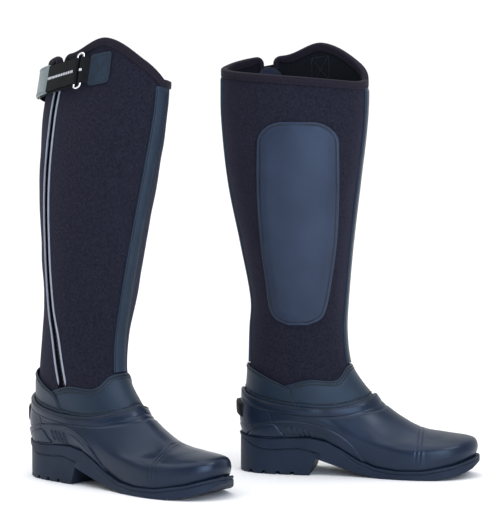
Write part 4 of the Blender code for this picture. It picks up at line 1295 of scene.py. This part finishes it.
def add_dashes(boot, name, turns, levels, body):
    """White woven dashes across the elastic's middle."""
    made = []
    layers = ((-0.0004, 1.0), (0.00015, 1.0), (0.00025, 0.8))
    t = circle(16)
    outline = np.stack([0.00065 * blunt(t, 0.5), 0.0016 * np.sin(t)], -1)
    for turn, level in zip(turns, levels):
        z = strap_z(turn)
        out = boot.normal(turn, z)
        ahead = boot.onward(turn, z)
        made.append(slab(boot.leg(turn, z, level), (ahead, np.cross(out, ahead), out), outline, layers))
    add_piece(boot, name, joined(made), "dashes", body, slot="elastic")


def make_strap(boot):
    rear_bar, front_bar = STRAP_RING + RING_HALF, STRAP_RING - RING_HALF
    pad = RUN_OUT + STRAP_THICK + GAP
    over = pad + PAD + GAP + STRAP_THICK
    crest = RING_MIDDLE + LOOP_RADIUS

    turn = np.linspace(rear_bar + 1.6, STRAP_SEWN, 70)
    sewn = GAP + LEATHER + 1.4 * GAP
    out = RUN_OUT + (sewn - RUN_OUT) * ease(turn, STRAP_REAR - 5, STRAP_SEWN - 3) + STRAP_THICK
    strap_band(boot, "strap_under_run", turn, STRAP_WIDTH, out, STRAP_THICK, "elastic")
    turn = np.linspace(TAB_START, PAD_END, 24)
    out = pad + PAD - 0.0004 * ease(turn, PAD_END - 7, PAD_END)
    strap_band(boot, "strap_loop_pad", turn, STRAP_WIDTH * 0.8, out, PAD, "tape")

    def free_out(turns):
        return over + (crest - over) * ease(-turns, -(rear_bar + 9), -(rear_bar + 1))

    # Free run of the elastic: from the tab, over the pad and round the ring's rear bar
    turns = np.linspace(TAB_START + 0.5, rear_bar + 0.4, 34)
    add_wrap(boot, "strap_elastic", rear_bar, turns, free_out(turns), -1, body="strap_end")
    marks = np.arange(TAB_START - 1.5, rear_bar + 0.5, -1.9)
    add_dashes(boot, "strap_dashes", marks, free_out(marks), "strap_end")

    # Loop that holds the ring: out from under the patch and round the front bar
    turns = np.linspace(STRAP_RING - 7.5, front_bar - 0.3, 8)
    start = SHEET_OUT
    outs = start + (crest - start) * ease(turns, turns[0], turns[-1])
    add_wrap(boot, "ring_loop", front_bar, turns, outs, 1, slot="elastic")
    add_dashes(boot, "ring_loop_dashes", (front_bar - 0.4, front_bar + 0.9), (crest, crest), "shaft")

    make_ring(boot)
    make_tab(boot, over)
    make_ring_patch(boot)


def make_ring(boot):
    """A long ring of round bar with half-round ends."""
    straight = STRAP_WIDTH / 2 + 0.0006
    path = []
    for sign in (1, -1):
        path += [(sign * RING_HALF, sign * straight * share) for share in np.linspace(-1, 1, 12)[:-1]]
        for a in np.radians(np.linspace(0, 180, 14)[:-1]):
            path.append((sign * RING_HALF * math.cos(a), sign * (straight + 0.003 * math.sin(a))))
    turn, up = np.array(path).T
    ahead = (turn / RING_HALF + 1)[:, None] / 2
    front, rear = (bar_frame(boot, STRAP_RING + side * RING_HALF, up / STRAP_WIDTH)[0] for side in (-1, 1))
    middle = front + ahead * (rear - front)
    along = unit(np.roll(middle, -1, 0) - np.roll(middle, 1, 0))
    out = boot.normal(STRAP_RING + turn, strap_z(STRAP_RING + turn) + up)
    rings = rod(middle, np.cross(along, out), out, RING_BAR, RING_BAR, 14)
    add_piece(boot, "strap_ring", tube(rings, closed=True), "ring_metal", sharp=80)


def frame_rows(turn, rise, end_rise, level):
    """Thread rows round a piece of strap: `level` gives the height off the neoprene at each angle."""
    rows = [(turn, strap_z(turn) + sign * rise, level(turn)) for sign in (1, -1)]
    for at in (turn[0], turn[-1]):
        rows.append((at, strap_z(at) + np.linspace(-end_rise, end_rise, 12), level(at)))
    return rows


def make_tab(boot, over):
    near_start = TAB_START + np.array([0, 0.2, 0.6])
    near_end = TAB_END - np.array([0.5, 0.15, 0])
    turn = np.concatenate([near_start, np.linspace(TAB_START + 1.2, TAB_END - 1, 42), near_end])
    width = STRAP_WIDTH * 1.03

    def level(turn):
        return over + 0.0006 - 0.0022 * ease(turn, 143, TAB_END)

    out = level(turn) - 0.0006 * ease(-turn, -TAB_START - 1.0, -TAB_START)
    strap_band(boot, "strap_tab", turn, width, out, STRAP_THICK + 0.0003, "tab", "strap_end", 0.0015)
    row = np.linspace(TAB_START + 2.2, TAB_END - 2.0, 40)
    rise = width / 2 - 0.0024
    rows = frame_rows(row, rise, rise - 0.002, level)
    add_threads(boot, "strap_tab_threads", rows, "strap_end", "tab", "tab_thread", FINE_THREAD)


def make_ring_patch(boot):
    end = STRAP_RING - 6
    near_start = STRAP_FRONT + np.array([0, 0.15, 0.5])
    turn = np.concatenate([near_start, np.linspace(STRAP_FRONT + 1, end, 34)])
    width = STRAP_WIDTH + 0.003

    def level(turn):
        return SHEET_OUT + 0.0011 * ease(turn, end - 5, end)

    strap_band(boot, "ring_patch", turn, width, level(turn), LEATHER, "leather_look", corner=0.0045)
    rise = width / 2 - 0.0026
    row = np.linspace(STRAP_FRONT + 2.0, end - 1.6, 20)

    def rows(level):
        cross = [(row, strap_z(row) + sign * rise * np.linspace(-1, 1, 20), level(row)) for sign in (-1, 1)]
        return frame_rows(row, rise, rise, level) + cross

    add_threads(boot, "ring_patch_threads", rows(lambda turn: level(turn) + 0.0002))
    # The same threads show on the lining
    back = rows(lambda turn: LINING_OUT + 0 * turn)
    add_threads(boot, "ring_patch_lining_threads", back, "shaft", "lining", "lining_thread", FINE_THREAD)


# ---- Stage ----

LENS = 154.1
CAMERA_RISE = 4.6  # degrees above level
CAMERA_DISTANCE = 2.6
CAMERA_TARGET = Vector((-0.005, 0.0423, 0.2475))
WORLD_FRONT = 0.17  # the room's brightness in front of the boots and behind them
WORLD_BACK = 1.06
OVERHEAD = 1.9


def keep_cad_pieces(boot):
    """Hidden small pieces stay as packed, with their own finishes."""
    for node, finish in (("insole_board", "board"), ("steel_shank", "steel"), ("zip_bottom_stop", "steel")):
        obj = frame["nodes"][f"{boot.name}_{node}"]
        obj.data.materials.clear()
        obj.data.materials.append(look[finish])


def make_camera():
    """The photograph's view: level, from the front of the pair, with a long lens."""
    camera = bpy.data.cameras.new("camera")
    camera.sensor_width = 36
    camera.lens = LENS
    elevation = math.radians(CAMERA_RISE)
    place = CAMERA_TARGET + CAMERA_DISTANCE * Vector((0, -math.cos(elevation), math.sin(elevation)))
    bpy.context.scene.camera = add_object("camera", camera, place, (math.pi / 2 - elevation, 0, 0))


def add_light(name, place, target, size, power, colour):
    light = bpy.data.lights.new(name, "AREA")
    light.shape = "RECTANGLE"
    light.size, light.size_y = size
    light.energy = power
    light.color = colour
    add_object(name, light, place, (Vector(target) - Vector(place)).to_track_quat("-Z", "Y").to_euler())


def make_stage():
    mesh = bpy.data.meshes.new("floor")
    reach = 40
    corners = [(-reach, -reach, 0), (reach, -reach, 0), (reach, reach, 0), (-reach, reach, 0)]
    mesh.from_pydata(corners, [], [(0, 1, 2, 3)])
    Finish("floor", (0.90, 0.90, 0.91), (0.93, 0.93, 0.94), 3, 4, 0.85, 0.1)
    mesh.materials.append(look["floor"])
    add_object("floor", mesh, (0, 0, -0.0002))

    world = bpy.data.worlds.new("studio")
    bpy.context.scene.world = world
    world.use_nodes = True
    tree = world.node_tree
    background = tree.nodes["Background"]
    background.inputs["Color"].default_value = (0.98, 0.99, 1.0, 1)
    # The room is white behind the boots and dimmer in front of them
    place = add_node(tree, "ShaderNodeTexCoord").outputs["Generated"]
    y = add_node(tree, "ShaderNodeSeparateXYZ", {"Vector": place}).outputs["Y"]
    sockets = {"Value": y, "From Min": -0.7, "From Max": 0.6, "To Min": WORLD_FRONT, "To Max": WORLD_BACK}
    level = add_node(tree, "ShaderNodeMapRange", sockets)
    tree.links.new(level.outputs["Result"], background.inputs["Strength"])
    sun = bpy.data.lights.new("overhead", "SUN")
    sun.angle = math.radians(75)
    sun.energy = OVERHEAD
    add_object("overhead", sun, turn=(math.radians(8), math.radians(-10), 0))

    add_light("key", (1.5, -1.6, 2.3), (0.1, 0, 0.15), (0.7, 0.7), 22, (1.0, 0.99, 0.98))
    add_light("fill", (-2.4, -1.6, 1.4), (0, 0, 0.25), (1.4, 2.0), 6, (0.95, 0.97, 1.0))
    add_light("front", (0.9, -2.5, 0.8), (0.1, 0, 0.2), (1.5, 1.3), 42, (0.70, 0.82, 1.0))
    bpy.context.scene.view_settings.view_transform = "Standard"


make_camera()
make_finishes()
pair = (
    Boot("right", side=-1, forward=0.020, inward=0.031, sag=0.0),
    Boot("left", side=1, forward=0.0, inward=0.018, sag=0.004),
)
makers = (
    make_outsole, make_galosh, make_footbed, make_spur_rest, make_collar, make_panels, make_binding,
    make_strips, make_patch, make_zip, make_strap, keep_cad_pieces,
)
for boot in pair:
    for make in makers:
        make(boot)
make_stage()
